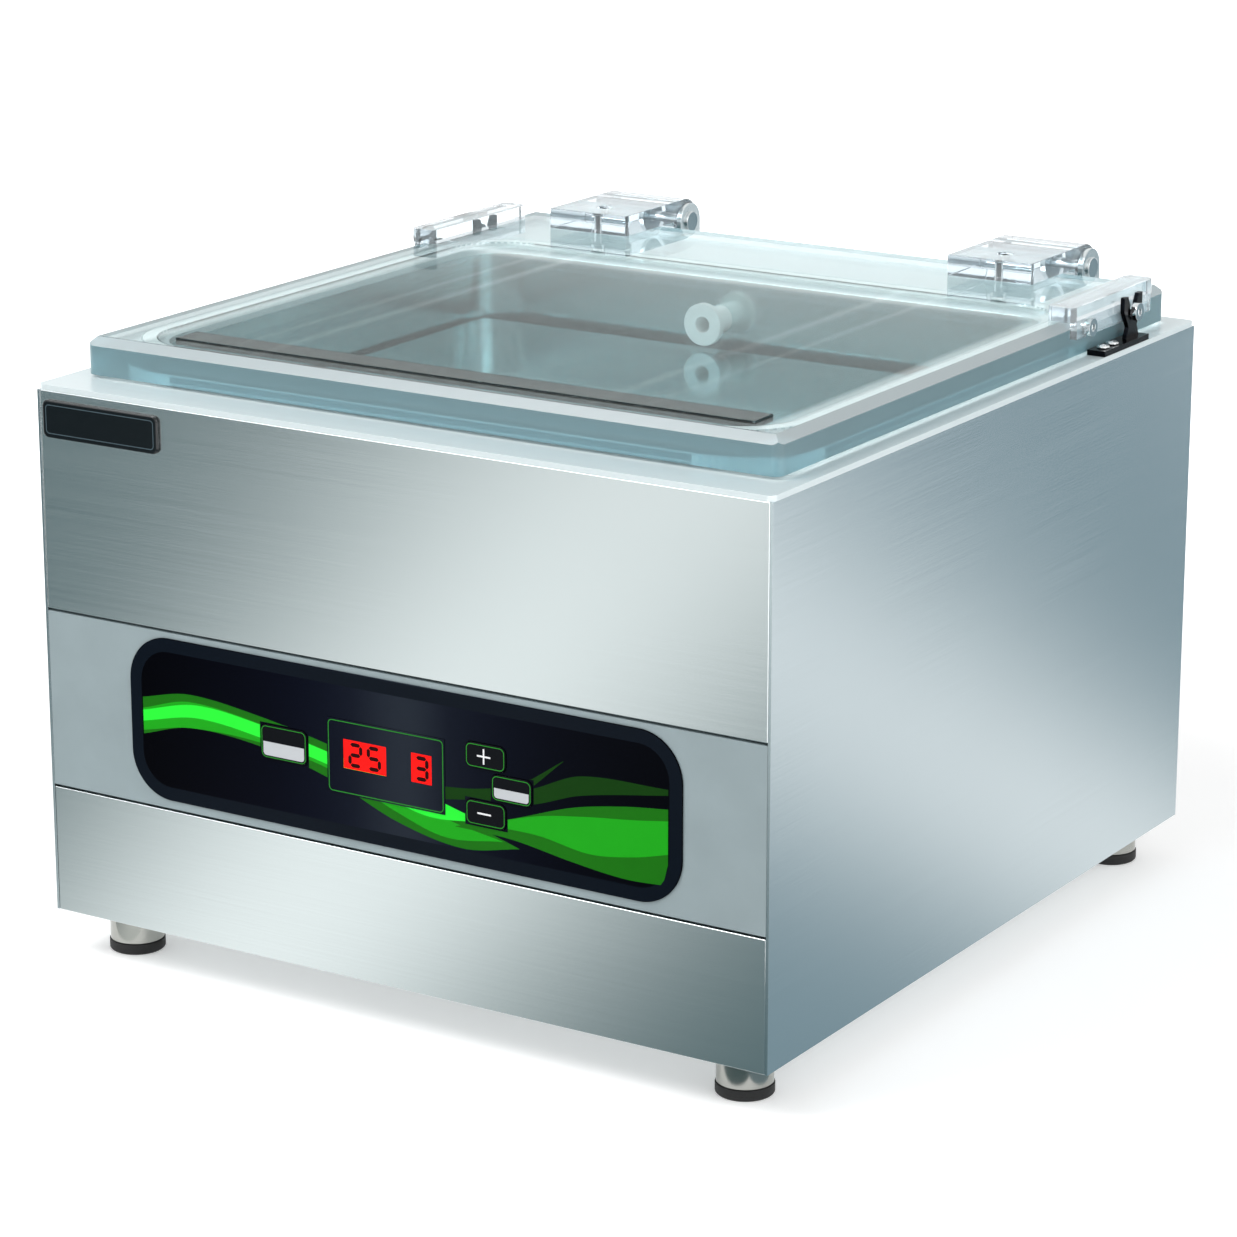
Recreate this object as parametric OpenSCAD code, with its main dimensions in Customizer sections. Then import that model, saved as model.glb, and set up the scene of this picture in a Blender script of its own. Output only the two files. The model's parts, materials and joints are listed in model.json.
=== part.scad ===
// Table-top chamber vacuum packing machine.
// A folded stainless case stands on four feet. Its top plate carries a deep-drawn chamber, closed by a
// thick clear acrylic lid on two clear hinge arms. A lifting seal bar, a product shelf and a suction
// nozzle are in the chamber, and the pump, valves and transformer are in the case below and behind it.
// X is to the machine's right, Y to its rear, Z up. The origin is under the middle of the whole
// machine, at the height of the worktop.

/* [Case] */
// Width of the case
body_w = 440; // [400:1:560]
// Depth of the case, front face to rear face
body_d = 462; // [430:1:580]
// Height of the case, from its underside to the top of the top plate
body_h = 288; // [240:1:360]
// Thickness of the folded stainless sheet
sheet_t = 1.5; // [1:0.1:2]
// Thickness of the top plate
plate_t = 3; // [2:0.5:4]
// Height of the feet
foot_h = 25; // [15:1:45]
// Diameter of a foot
foot_d = 29; // [24:1:40]

/* [Front] */
// Height of the control strip's lower seam above the case's underside
seam_low = 70; // [60:1:72]
// Height of the control strip
strip_h = 97; // [95:1:120]
// Width of the seams between the front panels
seam_w = 1.4; // [0.8:0.1:2]
// Width of the membrane panel
membrane_w = 336; // [330:1:380]
// Height of the membrane panel
membrane_h = 88; // [86:1:93]

/* [Chamber] */
// Width of the case's top that is left beside the chamber opening
chamber_side = 35; // [30:1:45]
// Distance from the case's front face to the chamber opening
chamber_front = 48; // [46:1:60]
// Depth of the case's top that is left behind the chamber opening
chamber_rear = 97; // [90:1:110]
// Depth of the chamber below the top plate's upper face
chamber_h = 118; // [90:1:130]
// Corner radius of the chamber
chamber_r = 28; // [15:1:40]
// Depth of the product shelf below the top plate's upper face
shelf_drop = 40; // [39:1:60]

/* [Lid] */
// Thickness of the acrylic lid
lid_t = 20; // [15:1:25]
// Width of the case's top that is left uncovered beside the lid
lid_side = 12; // [11:1:16]
// Width of the bevel round the lid's upper edge
lid_bevel = 4.5; // [1:0.5:6]
// Gap that the gasket leaves between the top plate and the lid
gasket_gap = 1.5; // [1:0.1:3]

/* [Seal bar] */
// Space between each end of the seal bar and the chamber wall
bar_end_gap = 10; // [6:1:30]
// Width of the seal bar
bar_w = 18; // [14:1:22]
// Rise of the seal bar when it presses on the lid's pad
bar_lift = 5; // [4:0.5:6]

/* [Hinge] */
// Width of a clear hinge arm
arm_w = 52; // [40:1:60]
// Thickness of a clear hinge arm
arm_t = 12; // [10:1:16]
// Distance of the left arm's middle from the machine's middle
arm_left = 141; // [120:1:150]
// Distance of the right arm's middle from the machine's middle
arm_right = 122; // [110:1:150]
// Diameter of a hinge pin
hinge_pin_d = 8; // [6:1:10]

/* [Hidden] */

$fn = 64;
cut = 1;            // how far a cutting shape runs past the surface that it cuts
fit = 0.05;         // radial clearance of a running fit
slack = 0.3;        // clearance beside a key, a lens or a panel edge

// The whole machine's depth runs from the badge in front to the hinge barrels behind.
badge_t = 2;
hinge_r = 13;
hinge_back = 9;                              // hinge axis behind the rear face
rear_reach = hinge_back + hinge_r;
front_y = badge_t - (badge_t + body_d + rear_reach) / 2;

top_z = body_h;                              // upper face of the top plate
under_top = body_h - plate_t;
half_w = body_w / 2;
in_w = half_w - sheet_t;                     // inner face of a side panel
return_w = 12;                               // width of a folded return

// Front panels
fascia_low = seam_low + seam_w / 2;
fascia_high = seam_low + strip_h - seam_w / 2;
front_half = in_w - 0.2;
membrane_t = 0.8;
membrane_x = 4;
membrane_z = seam_low + strip_h / 2 + 0.9;

// Keys and display, placed from the middle of the membrane panel
key_proud = 1.6;
key_flange = 1;
key_travel = 0.8;
key_r = 3.5;
key_start_at = [-69, -0.4, 29, 18];          // x, z, width, height
key_plus_at = [54.6, 14.4, 23.8, 13];
key_minus_at = [54.6, -15.4, 23.8, 13];
key_set_at = [70, -0.5, 23.8, 13.6];
KEYS = [key_start_at, key_plus_at, key_minus_at, key_set_at];
lens_at = [-6, -0.6, 72, 39.5];
two_digit_at = [-18.8, 1.3, 26.3, 15.3];
one_digit_at = [15.8, 1.3, 12.4, 15.3];
module_back = 8;
board_y = 8;
board_t = 1.6;

// Chamber
cham_w = body_w - 2 * chamber_side;
cham_d = body_d - chamber_front - chamber_rear;
cham_y = chamber_front + cham_d / 2;
cham_back = chamber_front + cham_d;
tub_t = 2;
tub_lip = 8;
tub_floor = top_z - chamber_h;
shelf_z = top_z - shelf_drop;
shelf_front = 96;
nozzle_x = -27;
nozzle_z = top_z - 26;
nozzle_r = 12;

// Lid
lid_w = body_w - 2 * lid_side;
lid_front = 26;
lid_rear = 14;
lid_d = body_d - lid_front - lid_rear;
lid_low = top_z + gasket_gap;
lid_high = lid_low + lid_t;
gasket_w = 8;
gasket_in = 4.5;
gasket_off = 6;                              // gasket's distance outside the chamber opening
pad_h = 7;
pad_in = 4;
pad_low = lid_low + pad_in - pad_h;

// Seal bar, at rest below the pad
bar_l = cham_w - 2 * bar_end_gap;
bar_y = chamber_front + 20;
bar_top = pad_low - bar_lift - 0.5;
bar_h = 24;
tape_t = 0.5;
strip_w = 5;
strip_t = 0.3;
rod_r = 5;
rod_x = bar_l / 2 - 35;
piston_r = 11;
cylinder_r = 15;
cylinder_h = 60;
post_r = 3;
post_x = bar_l / 2 - 10;
socket_h = 48;

// Hinge
axis_y = body_d + hinge_back;
axis_z = lid_high + arm_t - hinge_r;
pin_r = hinge_pin_d / 2;
arm_front = body_d - 58;
arm_screw_y = arm_front + 19;
screw_head_r = 4.6;
screw_r = 2.5;
cheek_t = 3;
cheek_r = 11;
cheek_gap = 0.6;
cheek_low = body_h - 58;
mount_plate_t = 3;
mount_plate_h = 56;

// Side blocks and their guide brackets
block_front = 326;
block_l = 98;
block_w = 16.4;
block_h = 8;
block_lip = 9.5;
block_out = lid_w / 2 + 4.4;
lip_gap = 0.3;
bolt_z = lid_high - 4.5;
bolt_ys = [343, 392];
bolt_head_r = 5;
bolt_head_h = 3.4;
fork_t = 2.5;
fork_gap = 0.6;
fork_x = block_out + fork_gap;
fork_slot = 4;
foot_plate_t = 3;

// Case screws
case_screw_r = 2;
case_head_r = 3.6;
case_head_h = 2.2;
case_screw_l = 6;
rear_screw_zs = [28, body_h / 2 - 4, body_h - 26];
bracket_screw_ys = [358, 369];
hinge_screw_dx = 15;
hinge_screw_dz = [12, 44];

// Pump and motor, scaled to the height left under the chamber
bay_h = tub_floor - tub_t - sheet_t;
mount_h = 12;
pump_h = bay_h - mount_h - 16;
pump_low = sheet_t + mount_h;
axis_up = pump_low + pump_h / 2;
pump_y = 235;
motor_r = pump_h * 0.44;
motor_x0 = -150;
pump_x0 = -8;
pump_x1 = 112;
wall = 6;
stator_x0 = -122;
stator_x1 = -46;
shaft_r = 8;
vane_r = pump_h * 0.25;
bore_r = vane_r + 6;
bore_up = 5;
cover_t = 8;

// Rear fittings
entry_x = -178;
entry_z = 58;
rocker_r = 9;
rocker_w = 20.6;
rocker_z = 19;
rocker_off = 10;                             // tilt of the rocker when switched off
socket_z = -14;
gas_x = 165;
gas_z = 36;
valve_x = -10;
valve_z = body_h - 98;
valve_l = 130;
louvre_w = 78;
louvre_t = 4;
louvre_n = 7;
louvre_pitch = 12;

foot_x = half_w - 30;
foot_ys = [30, body_d - 22];
pad_t = 6;

steel = [0.80, 0.83, 0.85];
strip_grey = [0.62, 0.69, 0.70];
clear = [0.75, 0.90, 0.93, 0.45];
black = [0.06, 0.06, 0.08];
chrome = [0.88, 0.89, 0.90];
rubber = [0.10, 0.10, 0.10];
silicone = [0.88, 0.90, 0.90];
nylon = [0.95, 0.95, 0.94];
brass = [0.80, 0.66, 0.35];
copper = [0.72, 0.45, 0.25];
aluminium = [0.75, 0.76, 0.78];
machine_grey = [0.45, 0.50, 0.53];
brown_tape = [0.40, 0.37, 0.34];
display_red = [0.95, 0.06, 0.05];
board_green = [0.05, 0.30, 0.14];

// ---- Helpers ----

// Places children in the case's own frame: y from its front face, z from its underside.
module in_case() {
    translate([0, front_y, foot_h]) children();
}

module round_rect(w, d, r) {
    square([w - 2 * r, d], center = true);
    square([w, d - 2 * r], center = true);
    for (sx = [-1, 1], sy = [-1, 1])
        translate([sx * (w / 2 - r), sy * (d / 2 - r)]) circle(r);
}

// A box from its low corner to its high corner.
module span(low, high) {
    translate(low) cube(high - low);
}

// A cylinder along X, Y or Z, starting at a point.
module rod_along_x(at, r, l) {
    translate(at) rotate([0, 90, 0]) cylinder(r = r, h = l);
}

module rod_along_y(at, r, l) {
    translate(at) rotate([-90, 0, 0]) cylinder(r = r, h = l);
}

module rod_along_z(at, r, l) {
    translate(at) cylinder(r = r, h = l);
}

// A plate drawn in the X-Z plane, front face at y0, growing to the rear.
module upright_plate(y0, t) {
    translate([0, y0 + t, 0]) rotate([90, 0, 0]) linear_extrude(t) children();
}

// A shape drawn in the Y-Z plane, growing to +X from x0.
module side_plate(x0, t) {
    translate([x0, 0, 0]) rotate([90, 0, 90]) linear_extrude(t) children();
}

module on_panel(place) {
    translate([membrane_x + place[0], membrane_z + place[1]]) children();
}

module key_outline(place, grow) {
    on_panel(place) round_rect(place[2] + 2 * grow, place[3] + 2 * grow, key_r + grow);
}

module box_outline(place, grow) {
    on_panel(place) square([place[2] + 2 * grow, place[3] + 2 * grow], center = true);
}

// ---- Case ----

module base_tray() {
    tray_w = 2 * (in_w - 0.2);
    flange_h = 18;
    color(steel) in_case() difference() {
        translate([-tray_w / 2, sheet_t, 0]) cube([tray_w, body_d - 2 * sheet_t, flange_h]);
        translate([-tray_w / 2 + sheet_t, 2 * sheet_t, sheet_t])
            cube([tray_w - 2 * sheet_t, body_d - 4 * sheet_t, flange_h]);
        for (sx = [-1, 1], fy = foot_ys)
            rod_along_z([sx * foot_x, fy, -cut], 4, sheet_t + 2 * cut);
        for (i = [0 : 7])
            translate([-50, 80 + i * 10, -cut]) cube([100, louvre_t, sheet_t + 2 * cut]);
    }
}

module side_panel(side) {
    color(steel) in_case() scale_x(side) difference() {
        union() {
            span([in_w, 0, 0], [half_w, body_d, under_top]);
            span([in_w - return_w, 16, under_top - sheet_t], [in_w, body_d - 16, under_top]);
            span([in_w - return_w, body_d - 2 * sheet_t, 20], [in_w, body_d - sheet_t, under_top - 20]);
        }
        for (z = rear_screw_zs)
            rod_along_y([in_w - 6, body_d - 10, z], case_screw_r, 20);
    }
}

module scale_x(side) {
    mirror([side < 0 ? 1 : 0, 0, 0]) children();
}

module side_panel_left() {
    side_panel(-1);
}

module side_panel_right() {
    side_panel(1);
}

// A front panel with a folded return along its top, its bottom or both.
module front_pan(z0, z1, top_return, low_return) {
    span([-front_half, 0, z0], [front_half, sheet_t, z1]);
    if (top_return) span([-front_half, 0, z1 - sheet_t], [front_half, return_w, z1]);
    if (low_return) span([-front_half, 0, z0], [front_half, return_w, z0 + sheet_t]);
}

module front_panel_upper() {
    color(steel) in_case() front_pan(seam_low + strip_h + seam_w / 2, under_top, true, true);
}

module front_panel_lower() {
    color(steel) in_case() front_pan(0, seam_low - seam_w / 2, true, false);
}

module control_fascia() {
    color(strip_grey) in_case() difference() {
        front_pan(fascia_low, fascia_high, true, true);
        upright_plate(-cut, sheet_t + 2 * cut) {
            for (place = KEYS) key_outline(place, slack);
            on_panel([(two_digit_at[0] + one_digit_at[0]) / 2 - 1.8, two_digit_at[1]])
                square([64, two_digit_at[3] + 1], center = true);
        }
    }
}

module rear_panel() {
    color(steel) in_case() difference() {
        span([-front_half, body_d - sheet_t, 0], [front_half, body_d, under_top]);
        for (sx = [-1, 1], z = rear_screw_zs)
            rod_along_y([sx * (in_w - 6), body_d - 10, z], case_screw_r, 20);
        for (sx = [-1, 1], i = [0 : louvre_n - 1])
            translate([sx * 62 - louvre_w / 2, body_d - 10, 46 + i * louvre_pitch])
                cube([louvre_w, 20, louvre_t]);
        for (ax = [-arm_left, arm_right], dx = [-1, 1], dz = hinge_screw_dz)
            rod_along_y([ax + dx * hinge_screw_dx, body_d - 10, cheek_low + dz], case_screw_r, 20);
        span([entry_x - 22, body_d - 10, entry_z - 31], [entry_x + 22, body_d + cut, entry_z + 31]);
        rod_along_y([gas_x, body_d - 10, gas_z], 6, 20);
    }
}

module top_plate() {
    color(steel) in_case() difference() {
        translate([0, body_d / 2, under_top]) linear_extrude(plate_t) round_rect(body_w, body_d, 4);
        translate([0, cham_y, under_top - cut]) linear_extrude(plate_t + 2 * cut)
            round_rect(cham_w, cham_d, chamber_r);
        for (sx = [-1, 1], y = bracket_screw_ys)
            rod_along_z([sx * (half_w - 5.5), y, under_top - cut], case_screw_r, plate_t + 2 * cut);
    }
}

module foot_cups() {
    color(chrome) in_case() for (sx = [-1, 1], fy = foot_ys) translate([sx * foot_x, fy, 0]) {
        translate([0, 0, pad_t - foot_h]) cylinder(d = foot_d, h = foot_h - pad_t);
        cylinder(r = 4, h = 10);
    }
}

module foot_pads() {
    chamfer = 1;
    color(rubber) in_case() for (sx = [-1, 1], fy = foot_ys) translate([sx * foot_x, fy, -foot_h]) {
        cylinder(r1 = foot_d / 2 - chamfer + 0.5, r2 = foot_d / 2 + 0.5, h = chamfer);
        translate([0, 0, chamfer]) cylinder(r = foot_d / 2 + 0.5, h = pad_t - chamfer);
    }
}

// ---- Chamber ----

module chamber_tub() {
    color(steel) in_case() difference() {
        union() {
            translate([0, cham_y, tub_floor - tub_t]) linear_extrude(under_top - tub_floor + tub_t)
                round_rect(cham_w + 2 * tub_t, cham_d + 2 * tub_t, chamber_r + tub_t);
            translate([0, cham_y, under_top - tub_t]) linear_extrude(tub_t)
                round_rect(cham_w + 2 * tub_lip, cham_d + 2 * tub_lip, chamber_r + tub_lip);
        }
        translate([0, cham_y, tub_floor]) linear_extrude(chamber_h)
            round_rect(cham_w, cham_d, chamber_r);
        rod_along_y([nozzle_x, cham_back - cut, nozzle_z], 7.5, tub_t + 2 * cut);
        for (sx = [-1, 1])
            rod_along_z([sx * rod_x, bar_y, tub_floor - tub_t - cut], 4, tub_t + 2 * cut);
    }
}

module product_shelf() {
    shelf_half = cham_w / 2 - 6;
    shelf_back = cham_back - 14;
    color(steel) in_case() {
        span([-shelf_half, shelf_front, shelf_z - sheet_t], [shelf_half, shelf_back, shelf_z]);
        span([-shelf_half, shelf_front, tub_floor], [shelf_half, shelf_front + sheet_t, shelf_z]);
        span([-shelf_half + 20, shelf_back - sheet_t, tub_floor],
             [shelf_half - 20, shelf_back, shelf_z]);
    }
}

module suction_nozzle() {
    neck = 20;
    hole_r = 4.5;
    color(nylon) in_case() difference() {
        union() {
            rod_along_y([nozzle_x, cham_back - neck, nozzle_z], nozzle_r, 4);
            rod_along_y([nozzle_x, cham_back - neck, nozzle_z], 7.5, neck + tub_t);
            rod_along_y([nozzle_x, cham_back + tub_t, nozzle_z], 11, 5);
            rod_along_y([nozzle_x, cham_back + tub_t, nozzle_z], 6, 17);
        }
        rod_along_y([nozzle_x, cham_back - neck - cut, nozzle_z], hole_r, neck + tub_t + 20);
    }
}

// ---- Seal bar ----

module bar_box(w_in, z0, z1) {
    translate([-bar_l / 2, bar_y - bar_w / 2 + w_in, z0]) cube([bar_l, bar_w - 2 * w_in, z1 - z0]);
}

module seal_bar() {
    color(aluminium) in_case() difference() {
        bar_box(tape_t, bar_top - bar_h, bar_top - tape_t);
        translate([-bar_l / 2 - cut, bar_y - strip_w / 2, bar_top - tape_t - strip_t])
            cube([bar_l + 2 * cut, strip_w, 1]);
        for (sx = [-1, 1]) {
            rod_along_z([sx * rod_x, bar_y, bar_top - bar_h - cut], rod_r, 10 + cut);
            rod_along_z([sx * post_x, bar_y, bar_top - bar_h - cut], post_r, 10 + cut);
        }
    }
}

module heating_strip() {
    color(brass) in_case()
        translate([-bar_l / 2, bar_y - strip_w / 2, bar_top - tape_t - strip_t])
            cube([bar_l, strip_w, strip_t]);
}

module tape_cover() {
    color(brown_tape) in_case() difference() {
        bar_box(0, bar_top - 16, bar_top);
        translate([-bar_l / 2 - cut, bar_y - bar_w / 2 + tape_t, bar_top - 17])
            cube([bar_l + 2 * cut, bar_w - 2 * tape_t, 17 - tape_t]);
    }
}

module lift_rods() {
    piston_z = tub_floor + 6.5;
    color(chrome) in_case() for (sx = [-1, 1]) {
        rod_along_z([sx * rod_x, bar_y, piston_z], piston_r, 7);
        rod_along_z([sx * rod_x, bar_y, piston_z], rod_r, bar_top - bar_h + 10 - piston_z);
    }
}

module lift_cylinders() {
    color(aluminium) in_case() for (sx = [-1, 1]) difference() {
        rod_along_z([sx * rod_x, bar_y, tub_floor], cylinder_r, cylinder_h);
        rod_along_z([sx * rod_x, bar_y, tub_floor + 6], piston_r + fit, cylinder_h - 14);
        rod_along_z([sx * rod_x, bar_y, tub_floor + 6], rod_r + fit, cylinder_h);
        rod_along_z([sx * rod_x, bar_y, tub_floor - cut], 3, 10);
    }
}

module contact_posts() {
    color(brass) in_case() for (sx = [-1, 1])
        rod_along_z([sx * post_x, bar_y, tub_floor + 18], post_r, bar_top - bar_h - tub_floor - 8);
}

module contact_sockets() {
    color(black) in_case() for (sx = [-1, 1]) difference() {
        rod_along_z([sx * post_x, bar_y, tub_floor], 8, socket_h);
        rod_along_z([sx * post_x, bar_y, tub_floor + 12], post_r + fit, socket_h);
    }
}

// ---- Lid ----

module bevel_profile(w) {
    polygon([
        [-w / 2, 0], [w / 2, 0], [w / 2, lid_t - lid_bevel], [w / 2 - lid_bevel, lid_t],
        [-w / 2 + lid_bevel, lid_t], [-w / 2, lid_t - lid_bevel]
    ]);
}

module gasket_ring(z0, z1) {
    outer = gasket_off + gasket_w;
    translate([0, cham_y, z0]) linear_extrude(z1 - z0) difference() {
        round_rect(cham_w + 2 * outer, cham_d + 2 * outer, chamber_r + outer);
        round_rect(cham_w + 2 * gasket_off, cham_d + 2 * gasket_off, chamber_r + gasket_off);
    }
}

module pad_block(z0, z1) {
    translate([-bar_l / 2, bar_y - bar_w / 2, z0]) cube([bar_l, bar_w, z1 - z0]);
}

module lid_plate() {
    lid_y = lid_front + lid_d / 2;
    color(clear) in_case() difference() {
        translate([0, lid_y, lid_low]) intersection() {
            linear_extrude(lid_t) round_rect(lid_w, lid_d, 5);
            translate([0, lid_d / 2, 0]) rotate([90, 0, 0]) linear_extrude(lid_d) bevel_profile(lid_w);
            translate([-lid_w / 2, 0, 0]) rotate([90, 0, 90]) linear_extrude(lid_w) bevel_profile(lid_d);
        }
        gasket_ring(lid_low - cut, lid_low + gasket_in);
        pad_block(lid_low - cut, lid_low + pad_in);
        for (ax = [-arm_left, arm_right])
            rod_along_z([ax, arm_screw_y, lid_high - 12], screw_r, 12 + cut);
        for (sx = [-1, 1], y = bolt_ys)
            rod_along_x([sx * lid_w / 2 - 16, y, bolt_z], screw_r, 32);
    }
}

module lid_gasket() {
    color(silicone) in_case() gasket_ring(top_z, lid_low + gasket_in);
}

module counter_pad() {
    color(brown_tape) in_case() pad_block(pad_low, lid_low + pad_in);
}

// A clear block on the lid that runs back to a barrel round the hinge pin.
module hinge_arm(ax) {
    color(clear) in_case() difference() {
        side_plate(ax - arm_w / 2, arm_w) {
            translate([arm_front, lid_high]) square([axis_y - arm_front, arm_t]);
            translate([axis_y, axis_z]) circle(hinge_r);
        }
        rod_along_x([ax - arm_w / 2 - cut, axis_y, axis_z], pin_r + fit, arm_w + 2 * cut);
        rod_along_z([ax, arm_screw_y, lid_high - cut], screw_r, arm_t + 2 * cut);
        rod_along_z([ax, arm_screw_y, lid_high + arm_t - 3.4], screw_head_r, 4);
    }
}

module hinge_arm_left() {
    hinge_arm(-arm_left);
}

module hinge_arm_right() {
    hinge_arm(arm_right);
}

module clear_block_screws() {
    head_h = 3;
    color(black) in_case() for (ax = [-arm_left, arm_right]) difference() {
        union() {
            rod_along_z([ax, arm_screw_y, lid_high - 12], screw_r, arm_t + 9);
            rod_along_z([ax, arm_screw_y, lid_high + arm_t - 3.4], screw_head_r, head_h);
        }
        translate([ax, arm_screw_y, lid_high + arm_t - 2.4]) cylinder(r = 2, h = 4, $fn = 6);
    }
}

// A clear block on each side edge of the lid, with a lip down the lid's side.
module side_block(side) {
    color(clear) in_case() scale_x(side) difference() {
        union() {
            translate([block_out - block_w / 2, block_front + block_l / 2, lid_high])
                linear_extrude(block_h) round_rect(block_w, block_l, 4);
            span([block_out - 4.1, block_front + 4, lid_high - block_lip],
                 [block_out, block_front + block_l - 4, lid_high + block_h / 2]);
        }
        for (y = bolt_ys)
            rod_along_x([block_out - 8, y, bolt_z], screw_r, 20);
    }
}

module side_block_left() {
    side_block(-1);
}

module side_block_right() {
    side_block(1);
}

module side_block_bolts() {
    heads = [block_out, fork_x + fork_t + fork_gap];
    color(chrome) in_case() for (side = [-1, 1], i = [0, 1]) scale_x(side) difference() {
        union() {
            rod_along_x([lid_w / 2 - 14, bolt_ys[i], bolt_z], screw_r, heads[i] - lid_w / 2 + 14);
            rod_along_x([heads[i], bolt_ys[i], bolt_z], bolt_head_r, bolt_head_h);
        }
        translate([heads[i] + bolt_head_h - 1.6, bolt_ys[i], bolt_z]) rotate([0, 90, 0])
            cylinder(r = 2.3, h = 3, $fn = 6);
    }
}

// A black guide on the top plate: a foot, a stem and an open fork for the lid's rear side bolt.
module guide_bracket(side) {
    fy = bolt_ys[1];
    color(black) in_case() scale_x(side) difference() {
        union() {
            span([lid_w / 2 + 1, block_front + 24, top_z], [half_w - 0.4, fy + 12, top_z + foot_plate_t]);
            side_plate(fork_x, fork_t) polygon([
                [fy - 9, top_z], [fy + 9, top_z], [fy + 5, top_z + 9], [fy + 11, bolt_z + 1],
                [fy + 11, bolt_z + 9], [fy + 6.5, bolt_z + 9], [fy + fork_slot, bolt_z + 4],
                [fy - fork_slot, bolt_z + 4], [fy - 6.5, bolt_z + 9], [fy - 11, bolt_z + 9],
                [fy - 11, bolt_z + 1], [fy - 5, top_z + 9]
            ]);
        }
        side_plate(fork_x - cut, fork_t + 2 * cut) {
            translate([fy, bolt_z]) circle(fork_slot);
            translate([fy - fork_slot, bolt_z]) square([2 * fork_slot, 20]);
        }
        for (y = bracket_screw_ys)
            rod_along_z([half_w - 5.5, y, top_z - cut], case_screw_r, foot_plate_t + 2 * cut);
    }
}

module guide_bracket_left() {
    guide_bracket(-1);
}

module guide_bracket_right() {
    guide_bracket(1);
}

// A yoke on the rear panel: a plate with two cheeks that carry the hinge pin.
module hinge_bracket(ax) {
    cheek_x = arm_w / 2 + cheek_gap;
    y0 = body_d + mount_plate_t;
    color(steel) in_case() difference() {
        union() {
            span([ax - cheek_x - cheek_t, body_d, cheek_low],
                 [ax + cheek_x + cheek_t, y0, cheek_low + mount_plate_h]);
            for (x = [-cheek_x - cheek_t, cheek_x]) side_plate(ax + x, cheek_t) {
                polygon([
                    [body_d, cheek_low], [y0 + 4, cheek_low], [axis_y + cheek_r, cheek_low + 30],
                    [axis_y + cheek_r, axis_z], [axis_y - cheek_r, axis_z],
                    [axis_y - cheek_r, top_z + 5], [body_d, top_z + 2]
                ]);
                translate([axis_y, axis_z]) circle(cheek_r);
            }
        }
        rod_along_x([ax - arm_w, axis_y, axis_z], pin_r, 2 * arm_w);
        for (dx = [-1, 1], dz = hinge_screw_dz)
            rod_along_y([ax + dx * hinge_screw_dx, body_d - cut, cheek_low + dz], case_screw_r, 10);
    }
}

module hinge_bracket_left() {
    hinge_bracket(-arm_left);
}

module hinge_bracket_right() {
    hinge_bracket(arm_right);
}

module hinge_pins() {
    reach = arm_w / 2 + cheek_gap + cheek_t;
    head_t = 1.5;
    color(chrome) in_case() for (ax = [-arm_left, arm_right]) {
        rod_along_x([ax - reach, axis_y, axis_z], pin_r, 2 * reach);
        rod_along_x([ax - reach - head_t, axis_y, axis_z], pin_r + 2, head_t);
        rod_along_x([ax + reach, axis_y, axis_z], pin_r + 2, head_t);
    }
}

// A pan-head screw with its head on +Z and its shank below the origin.
module case_screw() {
    difference() {
        cylinder(r = case_head_r, h = case_head_h);
        translate([0, 0, case_head_h - 1]) cylinder(r = 1.6, h = 2, $fn = 6);
    }
    translate([0, 0, -case_screw_l]) cylinder(r = case_screw_r, h = case_screw_l);
}

module case_screws() {
    color(chrome) in_case() {
        for (sx = [-1, 1], z = rear_screw_zs)
            translate([sx * (in_w - 6), body_d, z]) rotate([-90, 0, 0]) case_screw();
        for (sx = [-1, 1], y = bracket_screw_ys)
            translate([sx * (half_w - 5.5), y, top_z + foot_plate_t]) case_screw();
        for (ax = [-arm_left, arm_right], dx = [-1, 1], dz = hinge_screw_dz)
            translate([ax + dx * hinge_screw_dx, body_d + mount_plate_t, cheek_low + dz])
                rotate([-90, 0, 0]) case_screw();
    }
}

// ---- Control panel ----

module membrane_panel() {
    color(black) in_case() upright_plate(-membrane_t, membrane_t) difference() {
        translate([membrane_x, membrane_z]) round_rect(membrane_w, membrane_h, 25);
        for (place = KEYS) key_outline(place, slack);
        box_outline(lens_at, 0.1);
    }
}

module display_lens() {
    color(black) in_case() upright_plate(-membrane_t - 0.4, membrane_t + 0.4) difference() {
        box_outline(lens_at, 0);
        box_outline(two_digit_at, 0.1);
        box_outline(one_digit_at, 0.1);
    }
}

module display_modules() {
    color(display_red) in_case() upright_plate(-0.9, module_back + 0.9) {
        box_outline(two_digit_at, 0);
        box_outline(one_digit_at, 0);
    }
}

// A key: a cap in front, and a flange behind the fascia that holds it in.
module key(place) {
    color(black) in_case() {
        upright_plate(-key_proud, key_proud + sheet_t + 0.2) key_outline(place, 0);
        upright_plate(sheet_t + 0.2, key_flange) key_outline(place, slack + 0.2);
    }
}

module key_start() {
    key(key_start_at);
}

module key_plus() {
    key(key_plus_at);
}

module key_minus() {
    key(key_minus_at);
}

module key_set() {
    key(key_set_at);
}

module control_board() {
    switch_y = sheet_t + 0.2 + key_flange + key_travel + 0.1;
    board = [4, 0, 196, 56];
    color(board_green) in_case() {
        upright_plate(board_y, board_t) box_outline(board, 0);
        upright_plate(switch_y, board_y - switch_y)
            for (place = KEYS) on_panel(place) square([6, 6], center = true);
        upright_plate(sheet_t, board_y - sheet_t)
            for (sx = [-1, 1], sz = [-1, 1])
                on_panel([board[0] + sx * 93, sz * 23]) circle(3);
    }
}

module badge_plate() {
    badge_w = 75;
    badge_h = 20;
    color(black) in_case() upright_plate(-badge_t, badge_t)
        translate([-half_w + 42, under_top - 14.5]) round_rect(badge_w, badge_h, 3.5);
}

// ---- Pump and motor ----

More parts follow.
